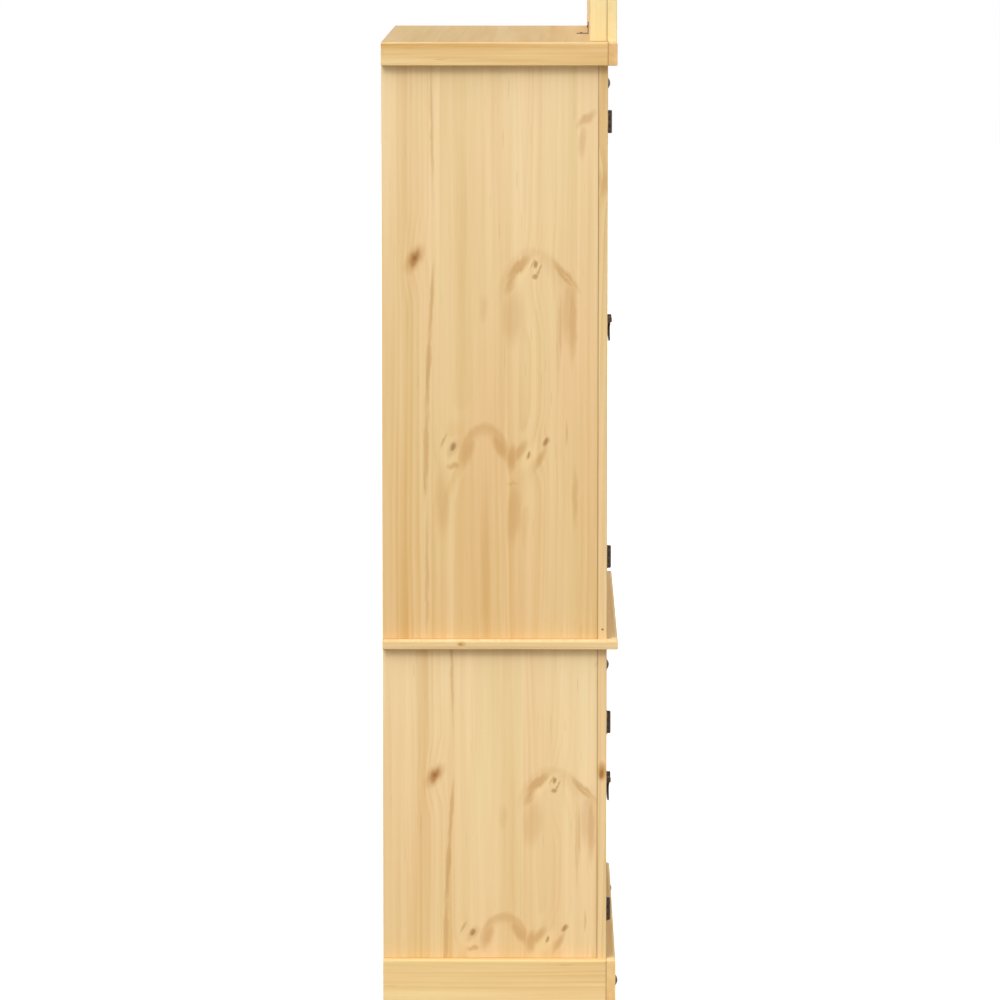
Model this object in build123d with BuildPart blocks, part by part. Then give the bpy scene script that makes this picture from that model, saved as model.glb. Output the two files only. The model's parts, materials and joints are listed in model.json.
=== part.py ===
"""Two-part pine cupboard: a tall upper cupboard that stands on the counter of a lower one.

Millimetres. +Z is up, the doors face -Y, and the origin is on the floor under the
middle of the carcass. Left is -X. Right-hand doors and pulls are the left ones mirrored.
"""
import os
from math import hypot

from build123d import *

os.makedirs("parts", exist_ok=True)

# ---------------------------------------------------------------- driving dimensions
# Overall
WIDTH = 1000.0  # over the counter, the cornice and the plinth
DEPTH = 430.0  # cornice and plinth, front to back
LOWER_H = 665.5  # floor to the underside of the counter
UPPER_H = 1053.5  # counter to the underside of the cornice, as seen
CORNICE_H = 42.0
PLINTH_H = 85.5

# Boards
SIDE_T = 17.0
FRAME_T = 17.0  # face frame round the doors
TRIM_T = 17.0  # cornice and plinth boards
COUNTER_T = 17.0
COUNTER_PROUD = 3.5  # counter front beyond the cornice front
TOP_T = 17.0
FLOOR_T = 17.0
SHELF_T = 16.0
BACK_T = 9.0
BACK_REBATE = 8.0
BACK_PLAY = 0.5
BACK_BOARD_W = 95.0
BACK_GROOVE = 1.6
DADO = 5.0
DADO_PLAY = 0.1

# Edges
COUNTER_ROUND = 5.0
CORNICE_ROUND = 2.5
PLINTH_ROUND = 4.0
SOFT_EDGE = 1.5
V_JOINT = 0.8

# Face frame
STILE_W = 50.0
UPPER_HEAD = 41.5  # rail seen between the upper doors and the cornice
UPPER_SILL = 84.0
LOWER_HEAD = 82.0
LOWER_SILL = 21.0  # rail seen between the plinth and the lower doors
LOWER_RAIL_DROP = 50.0  # how far the lowest rail runs down behind the plinth
LOWER_BACK_Z = 50.0

# Doors
DOOR_GAP = 3.0
DOOR_T = 18.0
DOOR_STILE_W = 62.0
DOOR_RAIL_W = 62.0
DOOR_FOOT_W = 76.0
TONGUE_T = 6.0
TONGUE_PLAY = 0.4
GROOVE_DEPTH = 9.0
PANEL_PLAY = 1.0
PANEL_RISE = 3.4  # how far the bevel rises from the tongue
PANEL_STEP = 1.6  # square shoulder between the bevel and the raised field
PANEL_BEVEL = 30.0
FRAME_CHAMFER = 3.0

# Hinges
HINGE_INSET = 60.0  # door end to the middle of the hinge
BARREL_L = 42.0
KNUCKLE_R = 3.9
KNUCKLE_GAP = 0.3  # between knuckles, end to end
KNUCKLE_CLEAR = 0.2  # between the barrel and the wood behind it
HINGE_PIN_R = 1.95
PIN_PLAY = 0.06
PIN_HEAD_R = 3.3
PIN_HEAD_T = 1.2
PIN_HEAD_ROUND = 0.84
LEAF_T = 1.6
LEAF_W = 31.0
LEAF_CLEAR = 0.8  # between the barrel and the edge of the other leaf
LEAF_SHOULDER = 20.0
LEAF_TIP = 9.0
LEAF_SCREW_IN = 12.0  # pin axis to the pair of screws by the barrel
LEAF_SCREW_UP = 13.0
LEAF_SCREW_TIP = 7.0  # single screw in from the leaf's tip

# Screws
SCREW_R = 1.5
SCREW_L = 13.0
SCREW_HEAD_R = 3.2
SCREW_HEAD_T = 1.8
SCREW_PLAY = 0.2
PILOT_PLAY = 0.02
PILOT_EXTRA = 0.5

# Drop pulls
PULL_ABOVE_MIDDLE = {"upper": 4.0, "lower": 0.0}
PULL_PLATE_W = 24.0
PULL_PLATE_H = 58.0
PULL_PLATE_T = 2.2
PULL_PLATE_DROP = 12.0  # plate middle below the pivot
PULL_SCREW_PITCH = 46.0
PULL_OUT = 8.4  # pivot in front of the door face
EAR_R = 5.0
EAR_T = 3.0
EAR_PLAY = 0.3
PULL_PIN_R = 1.5
PULL_PIN_FIT = 0.02
PULL_PIN_PLAY = 0.08
EYE_R = 3.9
EYE_W = 6.0
DROP_LENGTH = 41.5  # pivot to the tip of the drop
DROP_T = 3.0
DROP_NECK_W = 5.0
DROP_NECK_L = 2.0  # straight neck below the ears
DROP_NECK_EASE = 10.0  # how far the curve keeps the neck's way
DROP_BELLY_W = 15.0
DROP_BELLY_UP = 12.5  # widest place above the tip
DROP_BELLY_EASE = 8.0
DROP_TIP_EASE = 6.0
DROP_TIP_W = 6.0

# Studs
STUD_R = 10.0
STUD_H = 5.5
STUD_NAIL_R = 1.2
STUD_NAIL_L = 12.0
STUD_PLAY = 0.02
STUD_DROP = 33.0  # stud middle below the cornice and below the counter
PLINTH_STUD_Z = 40.0

# Shelves and their pins
UPPER_SHELVES = 3
SHELF_BACK_GAP = 1.0
SHELF_FRONT_GAP = 6.0
SHELF_END_GAP = 1.0
PEG_R = 2.5
PEG_PLAY = 0.05
PEG_HOLE_EXTRA = 1.0
PEG_IN = 8.0
PEG_OUT = 8.0
PEG_SETBACK = 45.0

# Dowels
DOWEL_R = 4.0
DOWEL_PLAY = 0.05
DOWEL_LONG = 18.0  # part of the dowel in a board's end
DOWEL_SHORT = 12.0  # part of it in a board's face
DOWEL_HOLE_EXTRA = 1.0
DOWEL_Y = 120.0
COUNTER_DOWEL_Y = 60.0
CROWN_DOWEL_X = 220.0

# Catches
CATCH_L = 38.0
CATCH_D = 17.0
CATCH_H = 12.0
CATCH_X = 34.0
CATCH_GAP = 0.3
STRIKE_T = 1.0
STRIKE_H = 10.0
STRIKE_UP = 3.0

# Crown
CROWN_INSET = 100.0  # crown end in from the cornice end
CROWN_END_H = 92.0
CROWN_SHOULDER = 90.0  # level stretch at each end
CROWN_RISE_H = 44.0  # from the shoulders to the ends of the crest's arc
CROWN_RISE_EASE = 0.55  # share of the rise's run that keeps level at its ends
CROWN_CREST_W = 320.0
CROWN_CREST_H = 10.0  # how far the crest's arc rises in its middle
CROWN_FRONT_T = 18.0
CROWN_BACK_D = 31.0
CROWN_END_T = 18.0
CROWN_BACK_T = 14.0
BRACKET_LEG = 23.0
BRACKET_W = 16.0
BRACKET_T = 1.6
BRACKET_HOLE = 14.0

# ---------------------------------------------------------------- planes that follow
END_X = WIDTH / 2
SIDE_X = END_X - TRIM_T
INNER_X = SIDE_X - SIDE_T
OPEN_X = SIDE_X - STILE_W
HINGE_X = OPEN_X - DOOR_GAP / 2
DOOR_OUT_X = OPEN_X - DOOR_GAP
DOOR_MEET_X = DOOR_GAP / 2
PULL_X = DOOR_MEET_X + DOOR_STILE_W / 2

FRONT_Y = -DEPTH / 2
BACK_Y = DEPTH / 2
FRAME_Y = FRONT_Y + TRIM_T
CARCASS_Y = FRAME_Y + FRAME_T
BACK_FACE_Y = BACK_Y - BACK_T
DOOR_MID_Y = FRAME_Y + DOOR_T / 2
DOOR_BACK_Y = FRAME_Y + DOOR_T
HINGE_Y = FRAME_Y - KNUCKLE_R - KNUCKLE_CLEAR
PULL_Y = FRAME_Y - PULL_OUT

LEAF_ROOT = KNUCKLE_R + LEAF_CLEAR
SCREW_HOLE_R = SCREW_R + SCREW_PLAY
PILOT_R = SCREW_R + PILOT_PLAY
STUD_HOLE_R = STUD_NAIL_R + STUD_PLAY
DOWEL_HOLE_R = DOWEL_R + DOWEL_PLAY

COUNTER_Z = LOWER_H + COUNTER_T
CORNICE_Z = COUNTER_Z + UPPER_H
TOP_Z = CORNICE_Z + CORNICE_H
UNDER_TOP_Z = TOP_Z - TOP_T

OPENING = {
    "upper": (COUNTER_Z + UPPER_SILL, CORNICE_Z - UPPER_HEAD),
    "lower": (PLINTH_H + LOWER_SILL, LOWER_H - LOWER_HEAD),
}
DOOR_Z = {name: (low + DOOR_GAP, high - DOOR_GAP) for name, (low, high) in OPENING.items()}
HINGE_Z = {name: (low + HINGE_INSET, high - HINGE_INSET) for name, (low, high) in DOOR_Z.items()}
PULL_Z = {name: sum(DOOR_Z[name]) / 2 + PULL_ABOVE_MIDDLE[name] for name in DOOR_Z}
DOOR_PANELS = {"upper": 2, "lower": 1}
FLOOR_Z = {name: low for name, (low, high) in OPENING.items()}

SHELF_Z = {
    "upper": [
        FLOOR_Z["upper"] + (UNDER_TOP_Z - FLOOR_Z["upper"]) * n / (UPPER_SHELVES + 1)
        for n in range(1, UPPER_SHELVES + 1)
    ],
    "lower": [(FLOOR_Z["lower"] + LOWER_H) / 2],
}
SHELF_Y = (CARCASS_Y + SHELF_FRONT_GAP, BACK_FACE_Y - SHELF_BACK_GAP)
SIDES = (-1, 1)


# ---------------------------------------------------------------- shared shop work
def keep(part, name):
    """Label one finished piece, or group of like pieces, and write its file."""
    part.label = name
    export_step(part, f"parts/{name}.step")


def board(x, y, z, mode=Mode.ADD):
    """A square board between a pair of planes each way."""
    with Locations(((x[0] + x[1]) / 2, (y[0] + y[1]) / 2, (z[0] + z[1]) / 2)):
        Box(x[1] - x[0], y[1] - y[0], z[1] - z[0], mode=mode)


def span(side, inner, outer):
    """The X planes of something that stands between two distances on one side."""
    return (inner, outer) if side > 0 else (-outer, -inner)


def bore(points, direction, radius, depth):
    """Blind round holes that start at each point and run along direction."""
    with Locations(*[Plane(point, z_dir=direction) for point in points]):
        Cylinder(
            radius,
            depth,
            align=(Align.CENTER, Align.CENTER, Align.MIN),
            mode=Mode.SUBTRACT,
        )


def pegs(points, direction, radius, length):
    """Round pegs that start at each point and run along direction."""
    with Locations(*[Plane(point, z_dir=direction) for point in points]):
        Cylinder(radius, length, align=(Align.CENTER, Align.CENTER, Align.MIN))


def edges_on(shape, **planes):
    """The edges whose middle lies on every named plane, such as x=5 or z=0."""
    found = shape.edges()
    for axis, value in planes.items():
        found = found.filter_by(lambda edge: abs(getattr(edge.center(), axis) - value) < 0.01)
    return found


def domed(head_r, head_t, shank_r, shank_l):
    """A turned fastener: low dome below the origin, pointed shank along +Z."""
    with BuildSketch(Plane.XZ, mode=Mode.PRIVATE) as half:
        with BuildLine():
            RadiusArc((head_r, 0), (0, -head_t), hypot(head_r, head_t) ** 2 / (2 * head_t))
            Polyline(
                (0, -head_t),
                (0, shank_l),
                (shank_r, shank_l - shank_r),
                (shank_r, 0),
                (head_r, 0),
            )
        make_face()
    with BuildPart(mode=Mode.PRIVATE) as turned:
        revolve(half.sketch, axis=Axis.Z)
    return turned.part


SCREW = domed(SCREW_HEAD_R, SCREW_HEAD_T, SCREW_R, SCREW_L)


def drive(fastener, points, direction):
    """Copies of a fastener with the flat of the head at each point, the shank along direction."""
    for point in points:
        add(Plane(point, z_dir=direction).location * fastener)


# ---------------------------------------------------------------- places that repeat
INTO_WOOD = (0, 1, 0)
FACE_STUDS = [
    (side * (SIDE_X - STILE_W / 2), FRAME_Y, z)
    for side in SIDES
    for z in (LOWER_H - STUD_DROP, CORNICE_Z - STUD_DROP)
]
PLINTH_STUDS = [(side * (SIDE_X - STILE_W / 2), FRONT_Y, PLINTH_STUD_Z) for side in SIDES]
LEAF_SCREWS = [
    (LEAF_SCREW_IN, LEAF_SCREW_UP),
    (LEAF_SCREW_IN, -LEAF_SCREW_UP),
    (LEAF_W - LEAF_SCREW_TIP, 0.0),
]


def leaf_screw_points(level, side, towards_door, y):
    """Screw places on one leaf of both hinges at one side of one pair of doors."""
    reach = -side if towards_door else side
    return [
        (side * HINGE_X + reach * out, y, hinge_z + up)
        for hinge_z in HINGE_Z[level]
        for out, up in LEAF_SCREWS
    ]


def side_dowel_points(z, y):
    """Dowel places over both side panels at one height."""
    return [(side * (SIDE_X - SIDE_T / 2), place, z) for side in SIDES for place in (-y, y)]


def peg_points(level, side):
    """Shelf peg places on the inner face of one side panel."""
    return [
        (side * INNER_X, place, z - PEG_R)
        for z in SHELF_Z[level]
        for place in (SHELF_Y[0] + PEG_SETBACK, SHELF_Y[1] - PEG_SETBACK)
    ]


CROWN_BACK_Y = FRONT_Y + CROWN_FRONT_T + CROWN_BACK_D
CROWN_DOWELS = [(side * CROWN_DOWEL_X, CROWN_BACK_Y - CROWN_BACK_T / 2, TOP_Z) for side in SIDES]


# ---------------------------------------------------------------- side panels
def side_panel(level, side, low, high):
    """A glued-up side with its housing for the floor, back rebate, peg and dowel holes."""
    with BuildPart() as panel:
        board(span(side, INNER_X, SIDE_X), (CARCASS_Y, BACK_Y), (low, high))
        board(
            span(side, INNER_X, INNER_X + BACK_REBATE),
            (BACK_FACE_Y, BACK_Y),
            (low, high),
            mode=Mode.SUBTRACT,
        )
        board(
            span(side, INNER_X, INNER_X + DADO),
            (CARCASS_Y, BACK_FACE_Y),
            (FLOOR_Z[level] - FLOOR_T, FLOOR_Z[level] + DADO_PLAY),
            mode=Mode.SUBTRACT,
        )
        bore(peg_points(level, side), (side, 0, 0), PEG_R + PEG_PLAY, PEG_IN + PEG_HOLE_EXTRA)
        ends = [(-1, DOWEL_Y, high)]
        if low > 0:
            ends.append((1, COUNTER_DOWEL_Y, low))
        for way, place, z in ends:
            points = [point for point in side_dowel_points(z, place) if point[0] * side > 0]
            bore(points, (0, 0, way), DOWEL_HOLE_R, DOWEL_LONG + DOWEL_HOLE_EXTRA)
        chamfer(edges_on(panel, X=side * SIDE_X, Y=CARCASS_Y), V_JOINT)
    return panel.part


for word, side in (("left", -1), ("right", 1)):
    keep(side_panel("lower", side, 0, LOWER_H), f"lower_side_{word}")
    keep(side_panel("upper", side, COUNTER_Z, UNDER_TOP_Z), f"upper_side_{word}")


# ---------------------------------------------------------------- floors and shelves
def cupboard_floor(level):
    with BuildPart() as floor:
        board(
            (-INNER_X - DADO, INNER_X + DADO),
            (CARCASS_Y, BACK_FACE_Y),
            (FLOOR_Z[level] - FLOOR_T, FLOOR_Z[level]),
        )
    return floor.part


def shelves(level):
    with BuildPart() as stack:
        for z in SHELF_Z[level]:
            board((-INNER_X + SHELF_END_GAP, INNER_X - SHELF_END_GAP), SHELF_Y, (z, z + SHELF_T))
            fillet(edges_on(stack, Y=SHELF_Y[0], X=0, Z=z + SHELF_T), SOFT_EDGE)
    return stack.part


keep(cupboard_floor("lower"), "lower_floor")
keep(cupboard_floor("upper"), "upper_floor")
keep(shelves("lower"), "lower_shelf")
keep(shelves("upper"), "upper_shelves")

with BuildPart() as shelf_pegs:
    for side in SIDES:
        for level in SHELF_Z:
            starts = [(x + side * PEG_IN, y, z) for x, y, z in peg_points(level, side)]
            pegs(starts, (-side, 0, 0), PEG_R, PEG_IN + PEG_OUT)
keep(shelf_pegs.part, "shelf_pegs")


# ---------------------------------------------------------------- backs
def tongued_back(low, high):
    """Upright boards in one panel, with a V groove at each board joint on both faces."""
    half = INNER_X + BACK_REBATE - BACK_PLAY
    count = round(2 * half / BACK_BOARD_W)
    pitch = 2 * half / count
    with BuildPart() as back:
        board((-half, half), (BACK_FACE_Y, BACK_Y), (low, high))
        with BuildSketch(Plane.XY.offset(low)) as vees:
            for n in range(1, count):
                for y, way in ((BACK_Y, -1), (BACK_FACE_Y, 1)):
                    with BuildLine(Location((-half + n * pitch, y))):
                        Polyline(
                            (-BACK_GROOVE, 0), (BACK_GROOVE, 0), (0, way * BACK_GROOVE), close=True
                        )
                    make_face()
        extrude(vees.sketch, amount=high - low, mode=Mode.SUBTRACT)
    return back.part


keep(tongued_back(LOWER_BACK_Z, LOWER_H), "lower_back")
keep(tongued_back(COUNTER_Z, UNDER_TOP_Z), "upper_back")


# ---------------------------------------------------------------- face frames
def frame_stiles(level, low, high):
    with BuildPart() as stiles:
        for side in SIDES:
            board(span(side, OPEN_X, SIDE_X), (FRAME_Y, CARCASS_Y), (low, high))
        for side in SIDES:
            fillet(edges_on(stiles, X=side * SIDE_X, Y=FRAME_Y), SOFT_EDGE)
            chamfer(edges_on(stiles, X=side * SIDE_X, Y=CARCASS_Y), V_JOINT)
            points = leaf_screw_points(level, side, False, FRAME_Y)
            bore(points, INTO_WOOD, PILOT_R, SCREW_L - LEAF_T + PILOT_EXTRA)
        studs_here = [point for point in FACE_STUDS if low < point[2] < high]
        bore(studs_here, INTO_WOOD, STUD_HOLE_R, STUD_NAIL_L + PILOT_EXTRA)
    return stiles.part


def frame_rails(heights):
    with BuildPart() as rails:
        for low, high in heights:
            board((-OPEN_X, OPEN_X), (FRAME_Y, CARCASS_Y), (low, high))
    return rails.part


keep(frame_stiles("lower", 0, LOWER_H), "lower_stiles")
keep(frame_stiles("upper", COUNTER_Z, UNDER_TOP_Z), "upper_stiles")
lower_open = OPENING["lower"]
upper_open = OPENING["upper"]
lower_rail_z = [(PLINTH_H - LOWER_RAIL_DROP, lower_open[0]), (lower_open[1], LOWER_H)]
upper_rail_z = [(COUNTER_Z, upper_open[0]), (upper_open[1], UNDER_TOP_Z)]
keep(frame_rails(lower_rail_z), "lower_rails")
keep(frame_rails(upper_rail_z), "upper_rails")

# ---------------------------------------------------------------- counter and top
with BuildPart() as counter_top:
    board((-END_X, END_X), (FRONT_Y - COUNTER_PROUD, BACK_Y), (LOWER_H, COUNTER_Z))
    for z, roundness in ((COUNTER_Z, COUNTER_ROUND), (LOWER_H, SOFT_EDGE)):
        rim = edges_on(counter_top, Z=z)
        fillet(rim.filter_by(lambda edge: edge.center().Y < BACK_Y - COUNTER_ROUND), roundness)
    bore(side_dowel_points(LOWER_H, DOWEL_Y), (0, 0, 1), DOWEL_HOLE_R, DOWEL_SHORT)
    bore(side_dowel_points(COUNTER_Z, COUNTER_DOWEL_Y), (0, 0, -1), DOWEL_HOLE_R, DOWEL_SHORT)
keep(counter_top.part, "counter_top")

with BuildPart() as top_board:
    board((-SIDE_X, SIDE_X), (FRAME_Y, BACK_Y), (UNDER_TOP_Z, TOP_Z))
    bore(side_dowel_points(UNDER_TOP_Z, DOWEL_Y), (0, 0, 1), DOWEL_HOLE_R, DOWEL_SHORT)
    bore(CROWN_DOWELS, (0, 0, -1), DOWEL_HOLE_R, DOWEL_SHORT)
    bracket_hole = (0, CROWN_BACK_Y + BRACKET_HOLE, TOP_Z)
    bore([bracket_hole], (0, 0, -1), PILOT_R, SCREW_L - BRACKET_T + PILOT_EXTRA)
keep(top_board.part, "top_board")

with BuildPart() as dowels:
    pegs(side_dowel_points(LOWER_H - DOWEL_LONG, DOWEL_Y), (0, 0, 1), DOWEL_R, DOWEL_LONG + DOWEL_SHORT)
    pegs(
        side_dowel_points(COUNTER_Z - DOWEL_SHORT, COUNTER_DOWEL_Y),
        (0, 0, 1),
        DOWEL_R,
        DOWEL_LONG + DOWEL_SHORT,
    )
    pegs(
        side_dowel_points(UNDER_TOP_Z - DOWEL_LONG, DOWEL_Y),
        (0, 0, 1),
        DOWEL_R,
        DOWEL_LONG + DOWEL_SHORT,
    )
    crown_feet = [(x, y, z - DOWEL_SHORT) for x, y, z in CROWN_DOWELS]
    pegs(crown_feet, (0, 0, 1), DOWEL_R, DOWEL_LONG + DOWEL_SHORT)
keep(dowels.part, "dowels")


# ---------------------------------------------------------------- plinth and cornice
def trim_front(low, high, rims, nails=()):
    """The front board of the plinth or cornice: it covers the ends of the side boards."""
    with BuildPart() as front:
        board((-END_X, END_X), (FRONT_Y, FRAME_Y), (low, high))
        for side in SIDES:
            chamfer(edges_on(front, X=side * END_X, Y=FRAME_Y), V_JOINT)
        for z, roundness in rims.items():
            rim = edges_on(front, Y=FRONT_Y, Z=z)
            for side in SIDES:
                rim += edges_on(front, X=side * END_X, Z=z)
            fillet(rim, roundness)
        if nails:
            bore(nails, INTO_WOOD, STUD_HOLE_R, STUD_NAIL_L + PILOT_EXTRA)
    return front.part


def trim_sides(low, high, rims):
    with BuildPart() as pair:
        for side in SIDES:
            board(span(side, SIDE_X, END_X), (FRAME_Y, BACK_Y), (low, high))
        for side in SIDES:
            chamfer(edges_on(pair, X=side * END_X, Y=FRAME_Y), V_JOINT)
            for z, roundness in rims.items():
                fillet(edges_on(pair, X=side * END_X, Z=z), roundness)
    return pair.part


PLINTH_RIMS = {PLINTH_H: PLINTH_ROUND}
CORNICE_RIMS = {TOP_Z: CORNICE_ROUND, CORNICE_Z: SOFT_EDGE}
keep(trim_front(0, PLINTH_H, PLINTH_RIMS, PLINTH_STUDS), "plinth_front")
keep(trim_sides(0, PLINTH_H, PLINTH_RIMS), "plinth_sides")
keep(trim_front(CORNICE_Z, TOP_Z, CORNICE_RIMS), "cornice_front")
keep(trim_sides(CORNICE_Z, TOP_Z, CORNICE_RIMS), "cornice_sides")

# ---------------------------------------------------------------- crown
CROWN_X = END_X - CROWN_INSET
CROWN_JOINT_Y = FRONT_Y + CROWN_FRONT_T
shoulder_x = CROWN_X - CROWN_SHOULDER
shoulder_z = TOP_Z + CROWN_END_H
crest_x = CROWN_CREST_W / 2
crest_z = shoulder_z + CROWN_RISE_H
ease = (shoulder_x - crest_x) * CROWN_RISE_EASE
with BuildPart() as crown_front:
    with BuildSketch(Plane.XZ.offset(-CROWN_JOINT_Y)) as crest:
        with BuildLine():
            Polyline(
                (-shoulder_x, shoulder_z),
                (-CROWN_X, shoulder_z),
                (-CROWN_X, TOP_Z),
                (CROWN_X, TOP_Z),
                (CROWN_X, shoulder_z),
                (shoulder_x, shoulder_z),
            )
            for side in SIDES:
                Bezier(
                    (side * shoulder_x, shoulder_z),
                    (side * (shoulder_x - ease), shoulder_z),
                    (side * (crest_x + ease), crest_z),
                    (side * crest_x, crest_z),
                )
            ThreePointArc((-crest_x, crest_z), (0, crest_z + CROWN_CREST_H), (crest_x, crest_z))
        make_face()
    extrude(amount=CROWN_FRONT_T)
    outline = edges_on(crown_front, Y=FRONT_Y)
    fillet(outline.filter_by(lambda edge: edge.center().Z > TOP_Z + SOFT_EDGE), SOFT_EDGE)
keep(crown_front.part, "crown_front")

with BuildPart() as crown_ends:
    for side in SIDES:
        board(
            span(side, CROWN_X - CROWN_END_T, CROWN_X),
            (CROWN_JOINT_Y, CROWN_BACK_Y),
            (TOP_Z, TOP_Z + CROWN_END_H),
        )
    for side in SIDES:
        chamfer(edges_on(crown_ends, X=side * CROWN_X, Y=CROWN_JOINT_Y), V_JOINT)
        fillet(edges_on(crown_ends, X=side * CROWN_X, Z=TOP_Z + CROWN_END_H), SOFT_EDGE)
keep(crown_ends.part, "crown_ends")

with BuildPart() as crown_back:
    board(
        (-CROWN_X + CROWN_END_T, CROWN_X - CROWN_END_T),
        (CROWN_BACK_Y - CROWN_BACK_T, CROWN_BACK_Y),
        (TOP_Z, TOP_Z + CROWN_END_H),
    )
    bore(CROWN_DOWELS, (0, 0, 1), DOWEL_HOLE_R, DOWEL_LONG + DOWEL_HOLE_EXTRA)
    upright_hole = (0, CROWN_BACK_Y, TOP_Z + BRACKET_HOLE)
    bore([upright_hole], (0, -1, 0), PILOT_R, CROWN_BACK_T)
keep(crown_back.part, "crown_back")

with BuildPart() as crown_bracket:
    leg = (-BRACKET_W / 2, BRACKET_W / 2)
    board(leg, (CROWN_BACK_Y, CROWN_BACK_Y + BRACKET_LEG), (TOP_Z, TOP_Z + BRACKET_T))
    board(leg, (CROWN_BACK_Y, CROWN_BACK_Y + BRACKET_T), (TOP_Z, TOP_Z + BRACKET_LEG))
    bore([(0, CROWN_BACK_Y + BRACKET_HOLE, TOP_Z + BRACKET_T)], (0, 0, -1), SCREW_HOLE_R, BRACKET_T)
    bore([(0, CROWN_BACK_Y + BRACKET_T, TOP_Z + BRACKET_HOLE)], (0, -1, 0), SCREW_HOLE_R, BRACKET_T)
keep(crown_bracket.part, "crown_bracket")

with BuildPart() as bracket_screws:
    drive(SCREW, [(0, CROWN_BACK_Y + BRACKET_HOLE, TOP_Z + BRACKET_T)], (0, 0, -1))
    drive(SCREW, [(0, CROWN_BACK_Y + BRACKET_T, TOP_Z + BRACKET_HOLE)], (0, -1, 0))
keep(bracket_screws.part, "bracket_screws")

# ---------------------------------------------------------------- studs
with BuildPart() as studs:
    drive(domed(STUD_R, STUD_H, STUD_NAIL_R, STUD_NAIL_L), FACE_STUDS + PLINTH_STUDS, INTO_WOOD)
keep(studs.part, "studs")


# ---------------------------------------------------------------- hinges
def knuckle_spans(hinge_z):
    """The three knuckles of a hinge from the bottom up: frame, door, frame."""
    low = hinge_z - BARREL_L / 2 + PIN_HEAD_T
    each = (BARREL_L - 2 * PIN_HEAD_T - 2 * KNUCKLE_GAP) / 3
    starts = [low + n * (each + KNUCKLE_GAP) for n in range(3)]
    return [(start, start + each) for start in starts]


def hinge_leaf(side, hinge_z, towards_door):
    """One leaf with its knuckles, lying on the face of the frame or of the door."""
    reach = -side if towards_door else side
    spans = knuckle_spans(hinge_z)
    knuckles = [spans[1]] if towards_door else [spans[0], spans[2]]
    half = BARREL_L / 2 - PIN_HEAD_T
    axis_x = side * HINGE_X

    def out(distance):
        return axis_x + reach * distance

    with BuildPart() as leaf:
        with BuildSketch(Plane.XZ.offset(-FRAME_Y)) as plate:
            with BuildLine():
                Polyline(
                    (out(LEAF_ROOT), hinge_z - half),
                    (out(LEAF_SHOULDER), hinge_z - half),
                    (out(LEAF_W), hinge_z - LEAF_TIP),
                    (out(LEAF_W), hinge_z + LEAF_TIP),
                    (out(LEAF_SHOULDER), hinge_z + half),
                    (out(LEAF_ROOT), hinge_z + half),
                    close=True,
                )
            make_face()
        extrude(plate.sketch, amount=LEAF_T)
        for low, high in knuckles:
            board(
                tuple(sorted((axis_x, out(LEAF_ROOT)))),
                (FRAME_Y - LEAF_T, FRAME_Y),
                (low, high),
            )
            with Locations((axis_x, HINGE_Y, low)):
                Cylinder(
                    KNUCKLE_R, high - low, align=(Align.CENTER, Align.CENTER, Align.MIN)
                )
        bore([(axis_x, HINGE_Y, hinge_z - half)], (0, 0, 1), HINGE_PIN_R + PIN_PLAY, 2 * half)
        holes = [(out(x), FRAME_Y - LEAF_T, hinge_z + z) for x, z in LEAF_SCREWS]
        bore(holes, INTO_WOOD, SCREW_HOLE_R, LEAF_T)
    return leaf.part


with BuildPart() as frame_leaves:
    for level in HINGE_Z:
        for side in SIDES:
            for hinge_z in HINGE_Z[level]:
                add(hinge_leaf(side, hinge_z, False))
keep(frame_leaves.part, "frame_hinge_leaves")

with BuildPart() as frame_screws:
    for level in HINGE_Z:
        for side in SIDES:
            drive(SCREW, leaf_screw_points(level, side, False, FRAME_Y - LEAF_T), INTO_WOOD)
keep(frame_screws.part, "frame_hinge_screws")

with BuildPart() as hinge_pins:
    with BuildPart(mode=Mode.PRIVATE) as one_pin:
        Cylinder(HINGE_PIN_R, BARREL_L - 2 * PIN_HEAD_T)
        for way in SIDES:
            with Locations((0, 0, way * (BARREL_L - PIN_HEAD_T) / 2)):
                Cylinder(PIN_HEAD_R, PIN_HEAD_T)
        fillet(edges_on(one_pin, Z=BARREL_L / 2), PIN_HEAD_ROUND)
        fillet(edges_on(one_pin, Z=-BARREL_L / 2), PIN_HEAD_ROUND)
    for level in HINGE_Z:
        for side in SIDES:
            for hinge_z in HINGE_Z[level]:
                add(Location((side * HINGE_X, HINGE_Y, hinge_z)) * one_pin.part)
keep(hinge_pins.part, "hinge_pins")

# ---------------------------------------------------------------- catches
with BuildPart() as catches:
    for level in FLOOR_Z:
        for side in SIDES:
            board(
                span(side, CATCH_X - CATCH_L / 2, CATCH_X + CATCH_L / 2),
                (DOOR_BACK_Y + CATCH_GAP, DOOR_BACK_Y + CATCH_GAP + CATCH_D),
                (FLOOR_Z[level], FLOOR_Z[level] + CATCH_H),
            )
keep(catches.part, "catches")


# ---------------------------------------------------------------- doors
def panel_openings(level):
    """Bottom and top of each opening that a door panel fills."""
    low = DOOR_Z[level][0] + DOOR_FOOT_W
    high = DOOR_Z[level][1] - DOOR_RAIL_W
    count = DOOR_PANELS[level]
    each = (high - low - (count - 1) * DOOR_RAIL_W) / count
    starts = [low + n * (each + DOOR_RAIL_W) for n in range(count)]
    return [(start, start + each) for start in starts]


PANEL_X = (-DOOR_OUT_X + DOOR_STILE_W, -DOOR_MEET_X - DOOR_STILE_W)


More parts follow.
